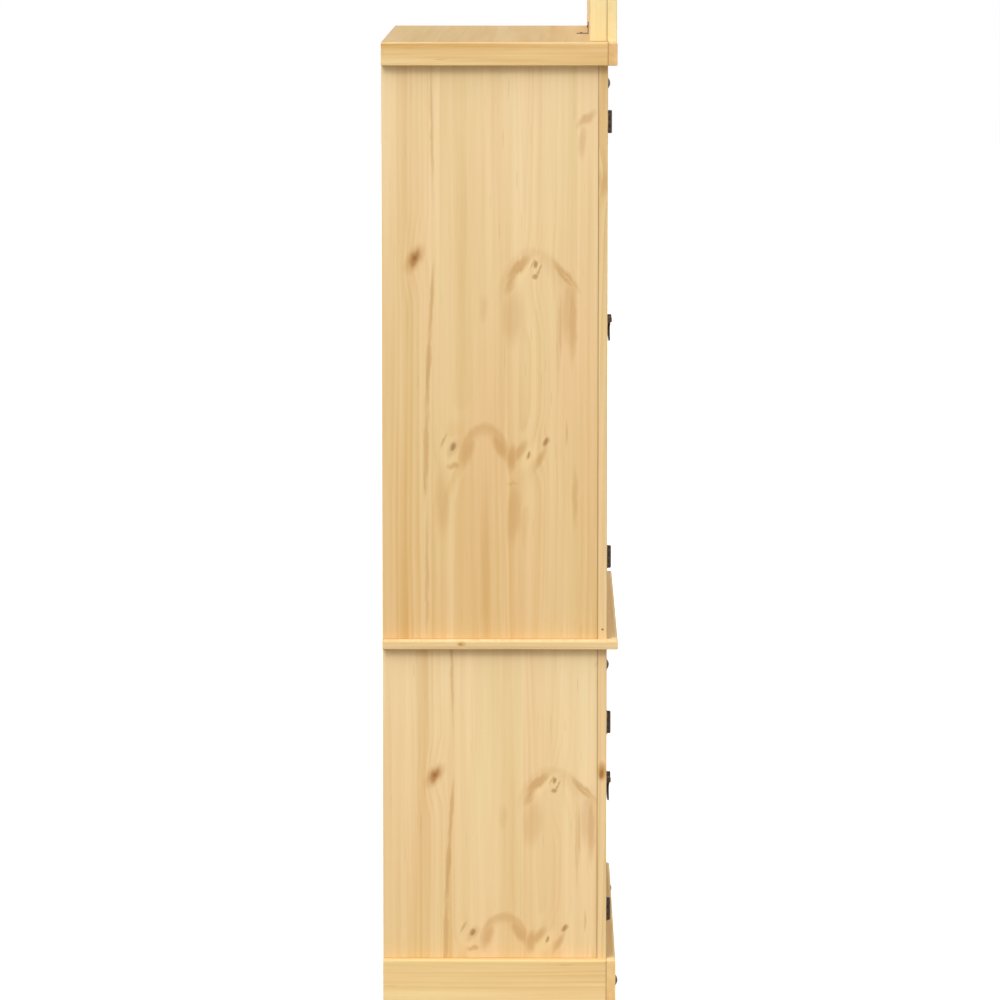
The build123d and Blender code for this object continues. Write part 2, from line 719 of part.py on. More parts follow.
def opening_rectangle(y, grow, z):
    """A panel opening's outline at one depth, grown all round. It is a face across Y."""
    with BuildSketch(Plane.XZ.offset(-y), mode=Mode.PRIVATE) as outline:
        with Locations((sum(PANEL_X) / 2, sum(z) / 2)):
            Rectangle(PANEL_X[1] - PANEL_X[0] + 2 * grow, z[1] - z[0] + 2 * grow)
    return outline.sketch


def cut_chamfers(level):
    """Bevel the front arrises all round each panel opening, mitred in its corners."""
    for z in panel_openings(level):
        loft(
            [
                opening_rectangle(FRAME_Y + FRAME_CHAMFER, 0, z),
                opening_rectangle(FRAME_Y, FRAME_CHAMFER, z),
            ],
            mode=Mode.SUBTRACT,
        )


TONGUE_Y = (DOOR_MID_Y - TONGUE_T / 2, DOOR_MID_Y + TONGUE_T / 2)
GROOVE_Y = (TONGUE_Y[0] - TONGUE_PLAY / 2, TONGUE_Y[1] + TONGUE_PLAY / 2)
STRIKE_SPAN = (-CATCH_X - CATCH_L / 2, -CATCH_X + CATCH_L / 2)


def strike_box(level, depth):
    """The steel strike's place in the back of a door, behind its foot."""
    low = DOOR_Z[level][0] + STRIKE_UP
    return STRIKE_SPAN, (DOOR_BACK_Y - depth, DOOR_BACK_Y), (low, low + STRIKE_H)


def pull_screw_points(level, y):
    middle = PULL_Z[level] - PULL_PLATE_DROP
    return [(-PULL_X, y, middle + way * PULL_SCREW_PITCH / 2) for way in SIDES]


def door_stiles(level):
    low, high = DOOR_Z[level]
    with BuildPart() as stiles:
        board((-DOOR_OUT_X, PANEL_X[0]), (FRAME_Y, DOOR_BACK_Y), (low, high))
        board((PANEL_X[1], -DOOR_MEET_X), (FRAME_Y, DOOR_BACK_Y), (low, high))
        rim = [edges_on(stiles, X=x, Y=FRAME_Y) for x in (-DOOR_OUT_X, -DOOR_MEET_X)]
        rim += [edges_on(stiles, Z=z, Y=FRAME_Y) for z in (low, high)]
        fillet([edge for edges in rim for edge in edges], SOFT_EDGE)
        for x in ((PANEL_X[0] - GROOVE_DEPTH, PANEL_X[0]), (PANEL_X[1], PANEL_X[1] + GROOVE_DEPTH)):
            board(x, GROOVE_Y, (low, high), mode=Mode.SUBTRACT)
        board(*strike_box(level, STRIKE_T), mode=Mode.SUBTRACT)
        cut_chamfers(level)
        bore(
            leaf_screw_points(level, -1, True, FRAME_Y),
            INTO_WOOD,
            PILOT_R,
            SCREW_L - LEAF_T + PILOT_EXTRA,
        )
        bore(
            pull_screw_points(level, FRAME_Y),
            INTO_WOOD,
            PILOT_R,
            SCREW_L - PULL_PLATE_T + PILOT_EXTRA,
        )
    return stiles.part


def door_rails(level):
    """Foot, any middle rail and head, with stub tenons that fill the stile grooves."""
    openings = panel_openings(level)
    edges = [DOOR_Z[level][0]] + [z for pair in openings for z in pair] + [DOOR_Z[level][1]]
    with BuildPart() as rails:
        for low, high in zip(edges[0::2], edges[1::2]):
            board(PANEL_X, (FRAME_Y, DOOR_BACK_Y), (low, high))
            tenon = (PANEL_X[0] - GROOVE_DEPTH, PANEL_X[1] + GROOVE_DEPTH)
            board(tenon, TONGUE_Y, (low, high))
        fillet([edge for z in DOOR_Z[level] for edge in edges_on(rails, Z=z, Y=FRAME_Y)], SOFT_EDGE)
        for low, high in openings:
            for z in ((low - GROOVE_DEPTH, low), (high, high + GROOVE_DEPTH)):
                groove = (PANEL_X[0] - GROOVE_DEPTH, PANEL_X[1] + GROOVE_DEPTH)
                board(groove, GROOVE_Y, z, mode=Mode.SUBTRACT)
        board(*strike_box(level, STRIKE_T), mode=Mode.SUBTRACT)
        cut_chamfers(level)
    return rails.part


def door_panels(level):
    """Raised panels that sit loose in their grooves and stand on the groove below."""
    sink = GROOVE_DEPTH - PANEL_PLAY
    with BuildPart() as panels:
        for low, high in panel_openings(level):
            board(
                (PANEL_X[0] - sink, PANEL_X[1] + sink), TONGUE_Y, (low - GROOVE_DEPTH, high + sink)
            )
            loft(
                [
                    opening_rectangle(TONGUE_Y[0], -PANEL_PLAY, (low, high)),
                    opening_rectangle(TONGUE_Y[0] - PANEL_RISE, -PANEL_BEVEL, (low, high)),
                ]
            )
            board(
                (PANEL_X[0] + PANEL_BEVEL, PANEL_X[1] - PANEL_BEVEL),
                (TONGUE_Y[0] - PANEL_RISE - PANEL_STEP, TONGUE_Y[0] - PANEL_RISE),
                (low + PANEL_BEVEL, high - PANEL_BEVEL),
            )
    return panels.part


def door_leaves(level):
    with BuildPart() as leaves:
        for hinge_z in HINGE_Z[level]:
            add(hinge_leaf(-1, hinge_z, True))
    return leaves.part


def door_fixings(level):
    """Hinge and pull screws, and the steel strike for the catch."""
    with BuildPart() as fixings:
        drive(SCREW, leaf_screw_points(level, -1, True, FRAME_Y - LEAF_T), INTO_WOOD)
        drive(SCREW, pull_screw_points(level, FRAME_Y - PULL_PLATE_T), INTO_WOOD)
        board(*strike_box(level, STRIKE_T))
    return fixings.part


def pull_mount(level):
    """Back plate with two ears, and the cross pin that the drop hangs on."""
    pivot = PULL_Z[level]
    ear_in = EYE_W / 2 + EAR_PLAY
    ear_out = ear_in + EAR_T
    with BuildPart() as mount:
        with BuildSketch(Plane.XZ.offset(-FRAME_Y)) as plate:
            with Locations((-PULL_X, pivot - PULL_PLATE_DROP)):
                Ellipse(PULL_PLATE_W / 2, PULL_PLATE_H / 2)
        extrude(plate.sketch, amount=PULL_PLATE_T)
        for side in SIDES:
            x = tuple(sorted((-PULL_X + side * ear_in, -PULL_X + side * ear_out)))
            board(x, (PULL_Y, FRAME_Y - PULL_PLATE_T / 2), (pivot - EAR_R, pivot + EAR_R))
            pegs([(x[0], PULL_Y, pivot)], (1, 0, 0), EAR_R, EAR_T)
        starts = [(-PULL_X - ear_out, PULL_Y, pivot)]
        bore(starts, (1, 0, 0), PULL_PIN_R + PULL_PIN_FIT, 2 * ear_out)
        bore(pull_screw_points(level, FRAME_Y - PULL_PLATE_T), INTO_WOOD, SCREW_HOLE_R, PULL_PLATE_T)
        pegs(starts, (1, 0, 0), PULL_PIN_R, 2 * ear_out)
    return mount.part


def pull_drop(level):
    """The hanging drop: a flat tear shape under an eye that turns on the pin."""
    pivot = PULL_Z[level]
    neck_x = DROP_NECK_W / 2
    neck_z = -EAR_R - DROP_NECK_L
    belly_x = DROP_BELLY_W / 2
    belly_z = -DROP_LENGTH + DROP_BELLY_UP
    with BuildPart() as drop:
        with BuildSketch(Plane.XZ.offset(-PULL_Y - DROP_T / 2)) as tear:
            with BuildLine(Location((-PULL_X, pivot))):
                Polyline((-neck_x, neck_z), (-neck_x, 0), (neck_x, 0), (neck_x, neck_z))
                for side in SIDES:
                    Bezier(
                        (side * neck_x, neck_z),
                        (side * neck_x, neck_z - DROP_NECK_EASE),
                        (side * belly_x, belly_z + DROP_BELLY_EASE),
                        (side * belly_x, belly_z),
                    )
                    Bezier(
                        (side * belly_x, belly_z),
                        (side * belly_x, belly_z - DROP_TIP_EASE),
                        (side * DROP_TIP_W / 2, -DROP_LENGTH),
                        (0, -DROP_LENGTH),
                    )
            make_face()
        extrude(tear.sketch, amount=DROP_T)
        pegs([(-PULL_X - EYE_W / 2, PULL_Y, pivot)], (1, 0, 0), EYE_R, EYE_W)
        bore([(-PULL_X - EYE_W / 2, PULL_Y, pivot)], (1, 0, 0), PULL_PIN_R + PULL_PIN_PLAY, EYE_W)
    return drop.part


DOOR_PIECES = {
    "door_stiles": door_stiles,
    "door_rails": door_rails,
    "door_panels": door_panels,
    "door_leaves": door_leaves,
    "door_fixings": door_fixings,
    "pull_mount": pull_mount,
    "pull_drop": pull_drop,
}
for level in DOOR_Z:
    for piece, make in DOOR_PIECES.items():
        left = make(level)
        keep(left, f"{level}_left_{piece}")
        keep(mirror(left, about=Plane.YZ), f"{level}_right_{piece}")
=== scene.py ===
"""Two-part pine cupboard with iron hinges and drop pulls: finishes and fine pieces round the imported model.

Metres. +Z is up, the doors face -Y, and the left side, -X, is the one towards the camera.
"""

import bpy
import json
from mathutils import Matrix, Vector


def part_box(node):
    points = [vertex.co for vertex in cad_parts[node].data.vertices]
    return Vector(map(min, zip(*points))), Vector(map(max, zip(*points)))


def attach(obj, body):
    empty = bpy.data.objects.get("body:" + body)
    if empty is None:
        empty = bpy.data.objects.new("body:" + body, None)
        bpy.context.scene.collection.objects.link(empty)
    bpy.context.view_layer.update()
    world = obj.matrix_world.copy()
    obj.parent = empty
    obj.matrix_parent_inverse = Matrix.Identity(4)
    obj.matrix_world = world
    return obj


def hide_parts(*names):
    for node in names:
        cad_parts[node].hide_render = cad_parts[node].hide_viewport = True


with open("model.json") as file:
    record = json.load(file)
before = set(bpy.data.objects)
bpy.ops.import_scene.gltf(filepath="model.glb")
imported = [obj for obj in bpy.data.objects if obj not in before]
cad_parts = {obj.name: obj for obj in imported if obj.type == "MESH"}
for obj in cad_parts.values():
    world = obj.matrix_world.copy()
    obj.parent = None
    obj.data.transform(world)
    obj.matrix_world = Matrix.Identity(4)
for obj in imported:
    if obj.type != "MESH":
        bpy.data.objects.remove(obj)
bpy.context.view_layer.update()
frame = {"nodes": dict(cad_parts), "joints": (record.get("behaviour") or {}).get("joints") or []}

import json
import math
import random

import bmesh
import bpy
from mathutils import Matrix, Vector

# ---------------------------------------------------------------- camera, floor and light
# A long lens a little above the top, square to the left side. The floor is pale and runs far back
# under a dim white sky, which shows at full white to the eye and in reflections.
SENSOR_WIDTH = 36.0
LENS = 199.17
CAMERA_PLACE = (-10.5673, -0.0835, 2.1205)
CAMERA_TILT = 6.6754  # degrees down
CAMERA_TURN = 0.4666  # degrees to its left of square
SIGHT = 200.0
scene = bpy.context.scene
scene.view_settings.view_transform = "Standard"

camera_data = bpy.data.cameras.new("camera")
camera_data.sensor_width = SENSOR_WIDTH
camera_data.lens = LENS
camera_data.clip_end = SIGHT
camera = bpy.data.objects.new("camera", camera_data)
camera.location = CAMERA_PLACE
camera.rotation_euler = (math.radians(90 - CAMERA_TILT), 0.0, math.radians(-90 + CAMERA_TURN))
scene.collection.objects.link(camera)
scene.camera = camera


def linear(hex_colour):
    """A colour written as sRGB hex, in the linear values that shaders take."""
    found = []
    for start in (0, 2, 4):
        value = int(hex_colour[start : start + 2], 16) / 255
        found.append(value / 12.92 if value <= 0.04045 else ((value + 0.055) / 1.055) ** 2.4)
    return (*found, 1.0)


def add(tree, kind, inputs=(), **settings):
    """One shader node: settings first, then its inputs by order, number or name, as values or links."""
    made = tree.nodes.new("ShaderNode" + kind)
    for key, value in settings.items():
        setattr(made, key, value)
    pairs = inputs.items() if isinstance(inputs, dict) else enumerate(inputs)
    for key, value in pairs:
        if isinstance(value, bpy.types.Node):
            value = value.outputs[0]
        if isinstance(value, bpy.types.NodeSocket):
            tree.links.new(value, made.inputs[key])
        elif value is not None:
            made.inputs[key].default_value = value
    return made


def blank_material(name):
    """A material and its tree, without a node."""
    made = bpy.data.materials.new(name)
    made.use_nodes = True
    made.node_tree.nodes.clear()
    return made, made.node_tree


WHITE = "ffffff"
SKY_EDGE = 0.38
SKY_TOP = 0.16
world = bpy.data.worlds.new("white_studio")
world.use_nodes = True
tree = world.node_tree
tree.nodes.clear()
place = add(tree, "TexCoord")
upward = add(tree, "SeparateXYZ", [place.outputs["Generated"]])
strength = add(tree, "MapRange", [upward.outputs[2], 0.0, 1.0, SKY_EDGE, SKY_TOP])
lit = add(tree, "Background", [linear(WHITE), strength])
backdrop = add(tree, "Background", [linear(WHITE), 1.0])
path = add(tree, "LightPath")
seen = add(tree, "Math", [path.outputs["Is Camera Ray"], path.outputs["Is Glossy Ray"]], operation="MAXIMUM")
seen = add(tree, "Math", [seen, path.outputs["Is Transmission Ray"]], operation="MAXIMUM")
mixed = add(tree, "MixShader", [seen, lit, backdrop])
add(tree, "OutputWorld", [mixed])
scene.world = world

FLOOR_SIZE = 60.0
FLOOR_COLOUR = "acacaa"
FLOOR_GLOW = 0.9  # seen by the camera alone, so that the floor fades into the sky
floor_mesh = bpy.data.meshes.new("floor")
form = bmesh.new()
bmesh.ops.create_grid(form, x_segments=1, y_segments=1, size=FLOOR_SIZE / 2)
form.to_mesh(floor_mesh)
form.free()
floor = bpy.data.objects.new("floor", floor_mesh)
scene.collection.objects.link(floor)
paper, tree = blank_material("white_paper_floor")
path = add(tree, "LightPath")
matt = add(tree, "BsdfDiffuse", [linear(FLOOR_COLOUR)])
glow = add(tree, "Emission", [linear(WHITE), FLOOR_GLOW])
both = add(tree, "AddShader", [matt, glow])
shown = add(tree, "MixShader", [path.outputs["Is Camera Ray"], matt, both])
add(tree, "OutputMaterial", [shown])
floor_mesh.materials.append(paper)

# The key comes from the left and the rear, a second softer lamp from higher on the same side. A fill
# that rakes the front from its right and one from the right keep the other sides open.
LAMPS = {
    "key": {"from": (-1.0, 0.45, 0.95), "angle": 12, "strength": 0.63},
    "soft": {"from": (-1.0, 0.75, 1.45), "angle": 70, "strength": 2.82},
    "front_fill": {"from": (0.5, -1.0, 0.0), "angle": 20, "strength": 2.4},
    "right_fill": {"from": (1.0, 0.1, 0.1), "angle": 45, "strength": 0.95},
}
for name, lamp in LAMPS.items():
    data = bpy.data.lights.new(name, "SUN")
    data.angle = math.radians(lamp["angle"])
    data.energy = lamp["strength"]
    light = bpy.data.objects.new(name, data)
    light.rotation_euler = Vector(lamp["from"]).to_track_quat("Z", "Y").to_euler()
    light.visible_glossy = "fill" not in name
    scene.collection.objects.link(light)

# ---------------------------------------------------------------- side panels
# Each side is edge-glued from pine staves 133 mm wide, sanded and sprayed with clear satin lacquer.
# Growth rings run up it in soft bands, cream early wood to slightly glossier amber late wood, and
# spread into arches under the knots.
EARLY_WOOD = "fae4ba"
LATE_WOOD = "cd9740"
YELLOWER = "fcfcf2"
PINKER = "fffaf4"
RESIN = "a9713c"
END_GRAIN = "f0cba2"
JOINT_COLOUR = "80521f"
MARK_COLOURS = {"Shade": "c28b4a", "Pale": "f4d69e", "Heart": "9c632c"}
HALO_COLOUR = "c08a58"
HEART_RINGS = ("a46c40", "b9875a")
PITH_COLOUR = "744628"
EARLY_ROUGHNESS = 0.68
LATE_ROUGHNESS = 0.58
LACQUER_GLOSS = 0.15

STAVES_APART = (9.0, 9.0, 9.0)  # metres in which every stave takes its own place in the noises
RING = 0.0095  # one year's growth, wider than most real rings so that it shows
RING_UNEVEN = 0.010
RING_NOISE = 70.0  # cycles to the metre of what makes the rings uneven
RING_SHIFT = 5.0  # and its shift from stave to stave
DARKENING = (0.2, 0.9)  # the share of a year in which the wood darkens
FAINTEST_YEAR = 0.7
HEART_DRIFT = 0.028  # how far the heart of the tree drifts under a metre of board
HEART_DEPTH = (0.012, 0.075)  # how far it lies under the board
HEART_ASIDE = 0.75  # and how far beside it, in board widths
WAVE = 0.016  # metres by which the rings wave
RIPPLE = 0.0022
KNOT_CELLS = (7.5, 1.9)  # cells to the metre, across and along, that may each hold a knot
KNOT_SHIFT = 19.0  # cells along, from stave to stave
KNOT_RADIUS = (0.0035, 0.0085)
KNOT_LEAN = 0.5
KNOT_STRETCH = 0.6  # its width over its length
KNOT_REACH = (62.0, 19.0, 0.0)  # how fast the rings close again beside it and along it
KNOT_PUSH = 0.014
NO_KNOT = 9.0  # knot radii, past every part of one
RAGGED_EDGE = 0.7  # knot radii by which its outline wanders
HEART_TURN = 17.0  # radians from ring to ring in its heart, to one knot radius
END_FACING = (0.6, 0.95)  # how squarely a face cuts the grain where end grain starts and is full
LATE_RELIEF = 0.5  # how far late wood stands up, to a fibre's height

# Noises over every board: cycles to the metre across the grain and along it, and detail. Wave and
# ripple bend the rings, and fade varies how dark they end. A fibre is 2.3 mm wide, which is coarser than
# real fibres, so that it shows.
NOISES = {
    "wave": (9.0, 1.3, 0.0),
    "ripple": (45.0, 7.0, 1.0),
    "fade": (22.0, 1.7, 1.0),
    "streak": (75.0, 1.6, 2.0),
    "fibre": (430.0, 9.0, 2.0),
    "broad": (24.0, 0.7, 1.0),
    "hue": (14.0, 2.2, 1.0),
    "fleck": (300.0, 17.0, 0.0),
    "ragged": (170.0, 90.0, 2.0),
}
# From and to in a noise, then what it gives at each: a strength, or what it adds to the tone.
LEVELS = {
    "fade": (0.3, 0.7, 0.01, 0.17),
    "streak": (0.3, 0.7, -0.09, 0.09),
    "fibre": (0.25, 0.75, -0.05, 0.05),
    "broad": (0.3, 0.7, -0.09, 0.09),
    "hue": (0.32, 0.68, 0.0, 1.0),
    "fleck": (0.78, 0.86, 0.0, 0.25),
}
OWN_TONE = 0.05  # how much darker or lighter than the others a stave may be
# A knot's parts: where each is full and where it ends, in knot radii, and its strength.
KNOT_PARTS = {"halo": (0.9, 2.8, 0.42), "heart": (0.7, 1.05, 0.8), "pith": (0.1, 0.42, 0.7)}


def in_stave(tree, given):
    """A place across and through its own stave, the stave's number, and its chances."""
    across, _, through = add(tree, "SeparateXYZ", [given["Place"]]).outputs
    numbers = []
    insides = []
    # staves lie side by side from the first one's edge, and layers are centred on the outer face
    for place, first, step, ahead in ((across, "Start", "Pitch", 0.0), (through, "Outer", "Layer", 0.5)):
        count = add(tree, "Math", [place, given[first]], operation="SUBTRACT")
        count = add(tree, "Math", [count, given[step]], operation="DIVIDE")
        count = add(tree, "Math", [count, ahead], operation="ADD")
        numbers.append(add(tree, "Math", [count], operation="FLOOR"))
        inside = add(tree, "Math", [count], operation="FRACT")
        inside = add(tree, "Math", [inside, 0.5], operation="SUBTRACT")
        insides.append(add(tree, "Math", [inside, given[step]], operation="MULTIPLY"))
    number = add(tree, "CombineXYZ", [*numbers, given["Seed"]])
    chance = add(tree, "TexWhiteNoise", [number], noise_dimensions="3D")
    return insides, numbers[0], chance


def heart_distance(tree, given, inside, along, depth, chance, noise):
    """How far a place is from the heart of the tree, which drifts and waves along the stave."""
    first, second, third = add(tree, "SeparateColor", [chance.outputs["Color"]]).outputs
    drift = add(tree, "MapRange", [first, 0.0, 1.0, -HEART_DRIFT, HEART_DRIFT])
    heart_depth = add(tree, "MapRange", [second, 0.0, 1.0, *HEART_DEPTH])
    heart_depth = add(tree, "Math", [along, drift, heart_depth], operation="MULTIPLY_ADD")
    heart_side = add(tree, "MapRange", [third, 0.0, 1.0, -HEART_ASIDE, HEART_ASIDE])
    heart_side = add(tree, "Math", [heart_side, given["Width"]], operation="MULTIPLY")
    aside = add(tree, "Math", [inside, heart_side], operation="SUBTRACT")
    below = add(tree, "Math", [depth, heart_depth], operation="ADD")
    square = add(tree, "Math", [below, below], operation="MULTIPLY")
    square = add(tree, "Math", [aside, aside, square], operation="MULTIPLY_ADD")
    radius = add(tree, "Math", [square], operation="SQRT")
    radius = add(tree, "Math", [noise["wave"], WAVE, radius], operation="MULTIPLY_ADD")
    radius = add(tree, "Math", [noise["ripple"], RIPPLE, radius], operation="MULTIPLY_ADD")
    return add(tree, "Math", [radius, given["Lift"]], operation="ADD")


def scattered_knots(tree, given, inside, along, stave, chance):
    """How much the rings part round the nearest knot, and how many knot radii away its middle is."""
    cells_across, cells_along = KNOT_CELLS
    cell_x = add(tree, "Math", [inside, cells_across, stave], operation="MULTIPLY_ADD")
    cell_y = add(tree, "Math", [chance.outputs["Value"], KNOT_SHIFT], operation="MULTIPLY")
    cell_y = add(tree, "Math", [along, cells_along, cell_y], operation="MULTIPLY_ADD")
    place = add(tree, "CombineXYZ", [cell_x, cell_y, 0.0])
    cell = add(tree, "TexVoronoi", {"Vector": place, "Scale": 1.0}, voronoi_dimensions="2D")
    size, there, lean = add(tree, "SeparateColor", [cell.outputs["Color"]]).outputs
    centre = add(tree, "SeparateXYZ", [cell.outputs["Position"]]).outputs
    off_x = add(tree, "Math", [cell_x, centre[0]], operation="SUBTRACT")
    off_x = add(tree, "Math", [off_x, cells_across], operation="DIVIDE")
    off_y = add(tree, "Math", [cell_y, centre[1]], operation="SUBTRACT")
    off_y = add(tree, "Math", [off_y, cells_along], operation="DIVIDE")
    lean = add(tree, "MapRange", [lean, 0.0, 1.0, -KNOT_LEAN, KNOT_LEAN])
    off_x = add(tree, "Math", [off_y, lean, off_x], operation="MULTIPLY_ADD")
    there = add(tree, "Math", [there, given["Knots"]], operation="LESS_THAN")

    bend = add(tree, "CombineXYZ", [off_x, off_y, 0.0])
    bend = add(tree, "VectorMath", [bend, KNOT_REACH], operation="MULTIPLY")
    bend = add(tree, "VectorMath", [bend, bend], operation="DOT_PRODUCT").outputs["Value"]
    bend = add(tree, "Math", [bend, -1.0], operation="MULTIPLY")
    bend = add(tree, "Math", [bend], operation="EXPONENT")
    bend = add(tree, "Math", [bend, there], operation="MULTIPLY")

    radius = add(tree, "MapRange", [size, 0.0, 1.0, *KNOT_RADIUS])
    near_x = add(tree, "Math", [off_x, radius], operation="DIVIDE")
    near_y = add(tree, "Math", [off_y, radius], operation="DIVIDE")
    near_y = add(tree, "Math", [near_y, KNOT_STRETCH], operation="MULTIPLY")
    near = add(tree, "CombineXYZ", [near_x, near_y, 0.0])
    near = add(tree, "VectorMath", [near], operation="LENGTH").outputs["Value"]
    gone = add(tree, "MapRange", [there, 0.0, 1.0, NO_KNOT, 0.0])
    return bend, add(tree, "Math", [near, gone], operation="ADD")


def year_rings(tree, given, radius, stave, chance):
    """How late in its year the wood at a radius grew, and that year's own chance."""
    uneven = add(tree, "Math", [chance.outputs["Value"], RING_SHIFT, radius], operation="MULTIPLY_ADD")
    uneven = {"W": uneven, "Scale": RING_NOISE, "Detail": 0.0}
    uneven = add(tree, "TexNoise", uneven, noise_dimensions="1D")
    turns = add(tree, "Math", [uneven, RING_UNEVEN, radius], operation="MULTIPLY_ADD")
    turns = add(tree, "Math", [turns, RING], operation="DIVIDE")
    phase = add(tree, "Math", [turns], operation="FRACT")
    spring, autumn = DARKENING
    rise = add(tree, "MapRange", [phase, spring, autumn, 0.0, 1.0], interpolation_type="SMOOTHSTEP")
    fall = add(tree, "MapRange", [phase, autumn, 1.0, 1.0, 0.0], interpolation_type="SMOOTHSTEP")
    lateness = add(tree, "Math", [rise, fall], operation="MULTIPLY")
    year = add(tree, "Math", [turns], operation="FLOOR")
    year = add(tree, "CombineXYZ", [year, stave, given["Seed"]])
    year = add(tree, "TexWhiteNoise", [year], noise_dimensions="3D").outputs["Value"]
    return lateness, year


def board_tone(tree, given, late, year, level, chance):
    """How dark the wood is: this year's late wood, streaks and fibre, then the board's own tone."""
    tone = add(tree, "Math", [year, FAINTEST_YEAR], operation="ADD")
    tone = add(tree, "Math", [tone, level["fade"]], operation="MULTIPLY")
    tone = add(tree, "Math", [tone, late], operation="MULTIPLY")
    tone = add(tree, "Math", [tone, level["streak"]], operation="ADD")
    tone = add(tree, "Math", [tone, level["fibre"]], operation="ADD")
    tone = add(tree, "Math", [tone, given["Contrast"], level["broad"]], operation="MULTIPLY_ADD")
    tone = add(tree, "Math", [tone, given["Tone"]], operation="ADD")
    own = add(tree, "MapRange", [chance.outputs["Value"], 0.0, 1.0, -OWN_TONE, OWN_TONE])
    return add(tree, "Math", [tone, own], operation="ADD")


def knotted(tree, colour, near, ragged):
    """The wood's colour with the scattered knots over it: warm halo, ringed heart and pith."""
    near = add(tree, "Math", [ragged, RAGGED_EDGE, near], operation="MULTIPLY_ADD")
    near = add(tree, "Math", [near, RAGGED_EDGE / 2], operation="SUBTRACT")
    rings = add(tree, "Math", [near, HEART_TURN], operation="MULTIPLY")
    rings = add(tree, "Math", [rings], operation="SINE")
    rings = add(tree, "MapRange", [rings, -1.0, 1.0, 0.0, 1.0])
    inner, outer = (linear(shade) for shade in HEART_RINGS)
    rings = add(tree, "Mix", {0: rings, 6: inner, 7: outer}, data_type="RGBA").outputs[2]
    shades = {"halo": linear(HALO_COLOUR), "heart": rings, "pith": linear(PITH_COLOUR)}
    for name, (full, end, strength) in KNOT_PARTS.items():
        shown = add(tree, "MapRange", [near, full, end, strength, 0.0], interpolation_type="SMOOTHSTEP")
        colour = add(tree, "Mix", {0: shown, 6: colour, 7: shades[name]}, data_type="RGBA").outputs[2]
    return colour


def pine_figure():
    """Group: colour, roughness and height of lacquered pine at a place in a board.

    Place is across the board, along its grain and through it, in metres, and Face the normal in the
    same order. Shade, Pale and Heart draw one board's own marks over the common figure, from 0 to 1,
    and Lift moves its rings.
    """
    tree = bpy.data.node_groups.new("pine_figure", "ShaderNodeTree")
    sockets = {
        "Vector": ("Place", "Face"),
        "Float": (
            *("Pitch", "Width", "Start", "Layer", "Outer", "Seed", "Knots", "Tone", "Contrast", "End"),
            *("Lift", "Shade", "Pale", "Heart"),
        ),
        "Color": ("Wash",),
    }
    for kind, names in sockets.items():
        for name in names:
            tree.interface.new_socket(name, in_out="INPUT", socket_type="NodeSocket" + kind)
    for name, kind in (("Colour", "Color"), ("Roughness", "Float"), ("Height", "Float")):
        tree.interface.new_socket(name, in_out="OUTPUT", socket_type="NodeSocket" + kind)
    given = tree.nodes.new("NodeGroupInput").outputs
    along = add(tree, "SeparateXYZ", [given["Place"]]).outputs[1]
    (inside, depth), stave, chance = in_stave(tree, given)

    # every stave is cut from its own place in the noises
    local = add(tree, "CombineXYZ", [inside, along, depth])
    shift = add(tree, "VectorMath", [chance.outputs["Color"], STAVES_APART], operation="MULTIPLY")
    grown = add(tree, "VectorMath", [local, shift], operation="ADD")
    noise = {}
    for name, (across_scale, along_scale, detail) in NOISES.items():
        scale = (across_scale, along_scale, across_scale)
        stretched = add(tree, "VectorMath", [grown, scale], operation="MULTIPLY")
        noise[name] = add(tree, "TexNoise", {"Vector": stretched, "Scale": 1.0, "Detail": detail})
    level = {name: add(tree, "MapRange", [noise[name], *levels]) for name, levels in LEVELS.items()}

    radius = heart_distance(tree, given, inside, along, depth, chance, noise)
    bend, near = scattered_knots(tree, given, inside, along, stave, chance)
    radius = add(tree, "Math", [bend, KNOT_PUSH, radius], operation="MULTIPLY_ADD")
    late, year = year_rings(tree, given, radius, stave, chance)
    tone = board_tone(tree, given, late, year, level, chance)
    wood = {0: tone, 6: linear(EARLY_WOOD), 7: linear(LATE_WOOD)}
    colour = add(tree, "Mix", wood, data_type="RGBA").outputs[2]

    # patches a little pinker or yellower than the rest, then the board's wash, which on the top board is
    # painted shade
    tint = {0: level["hue"], 6: linear(YELLOWER), 7: linear(PINKER)}
    tint = add(tree, "Mix", tint, data_type="RGBA").outputs[2]
    for wash in (tint, given["Wash"]):
        washed = {0: 1.0, 6: colour, 7: wash}
        colour = add(tree, "Mix", washed, data_type="RGBA", blend_type="MULTIPLY").outputs[2]

    # short resin flecks along the grain, the board's own marks, and the scattered knots
    fleck = add(tree, "Math", [level["fleck"], given["Contrast"]], operation="MULTIPLY")
    colour = add(tree, "Mix", {0: fleck, 6: colour, 7: linear(RESIN)}, data_type="RGBA").outputs[2]
    for name, shade in MARK_COLOURS.items():
        colour = add(tree, "Mix", {0: given[name], 6: colour, 7: linear(shade)}, data_type="RGBA").outputs[2]
    colour = knotted(tree, colour, near, noise["ragged"])

    # end grain takes more lacquer and looks darker and more orange
    end = add(tree, "SeparateXYZ", [given["Face"]]).outputs[1]
    end = add(tree, "Math", [end], operation="ABSOLUTE")
    facing = [end, *END_FACING, 0.0, given["End"]]
    end = add(tree, "MapRange", facing, interpolation_type="SMOOTHSTEP")
    darker = {0: end, 6: colour, 7: linear(END_GRAIN)}
    colour = add(tree, "Mix", darker, data_type="RGBA", blend_type="MULTIPLY").outputs[2]

    rough = add(tree, "MapRange", [late, 0.0, 1.0, EARLY_ROUGHNESS, LATE_ROUGHNESS]).outputs[0]
    height = [late, LATE_RELIEF, noise["fibre"]]
    height = add(tree, "Math", height, operation="MULTIPLY_ADD").outputs[0]
    leave = tree.nodes.new("NodeGroupOutput")
    for name, socket in (("Colour", colour), ("Roughness", rough), ("Height", height)):
        tree.links.new(socket, leave.inputs[name])
    return tree


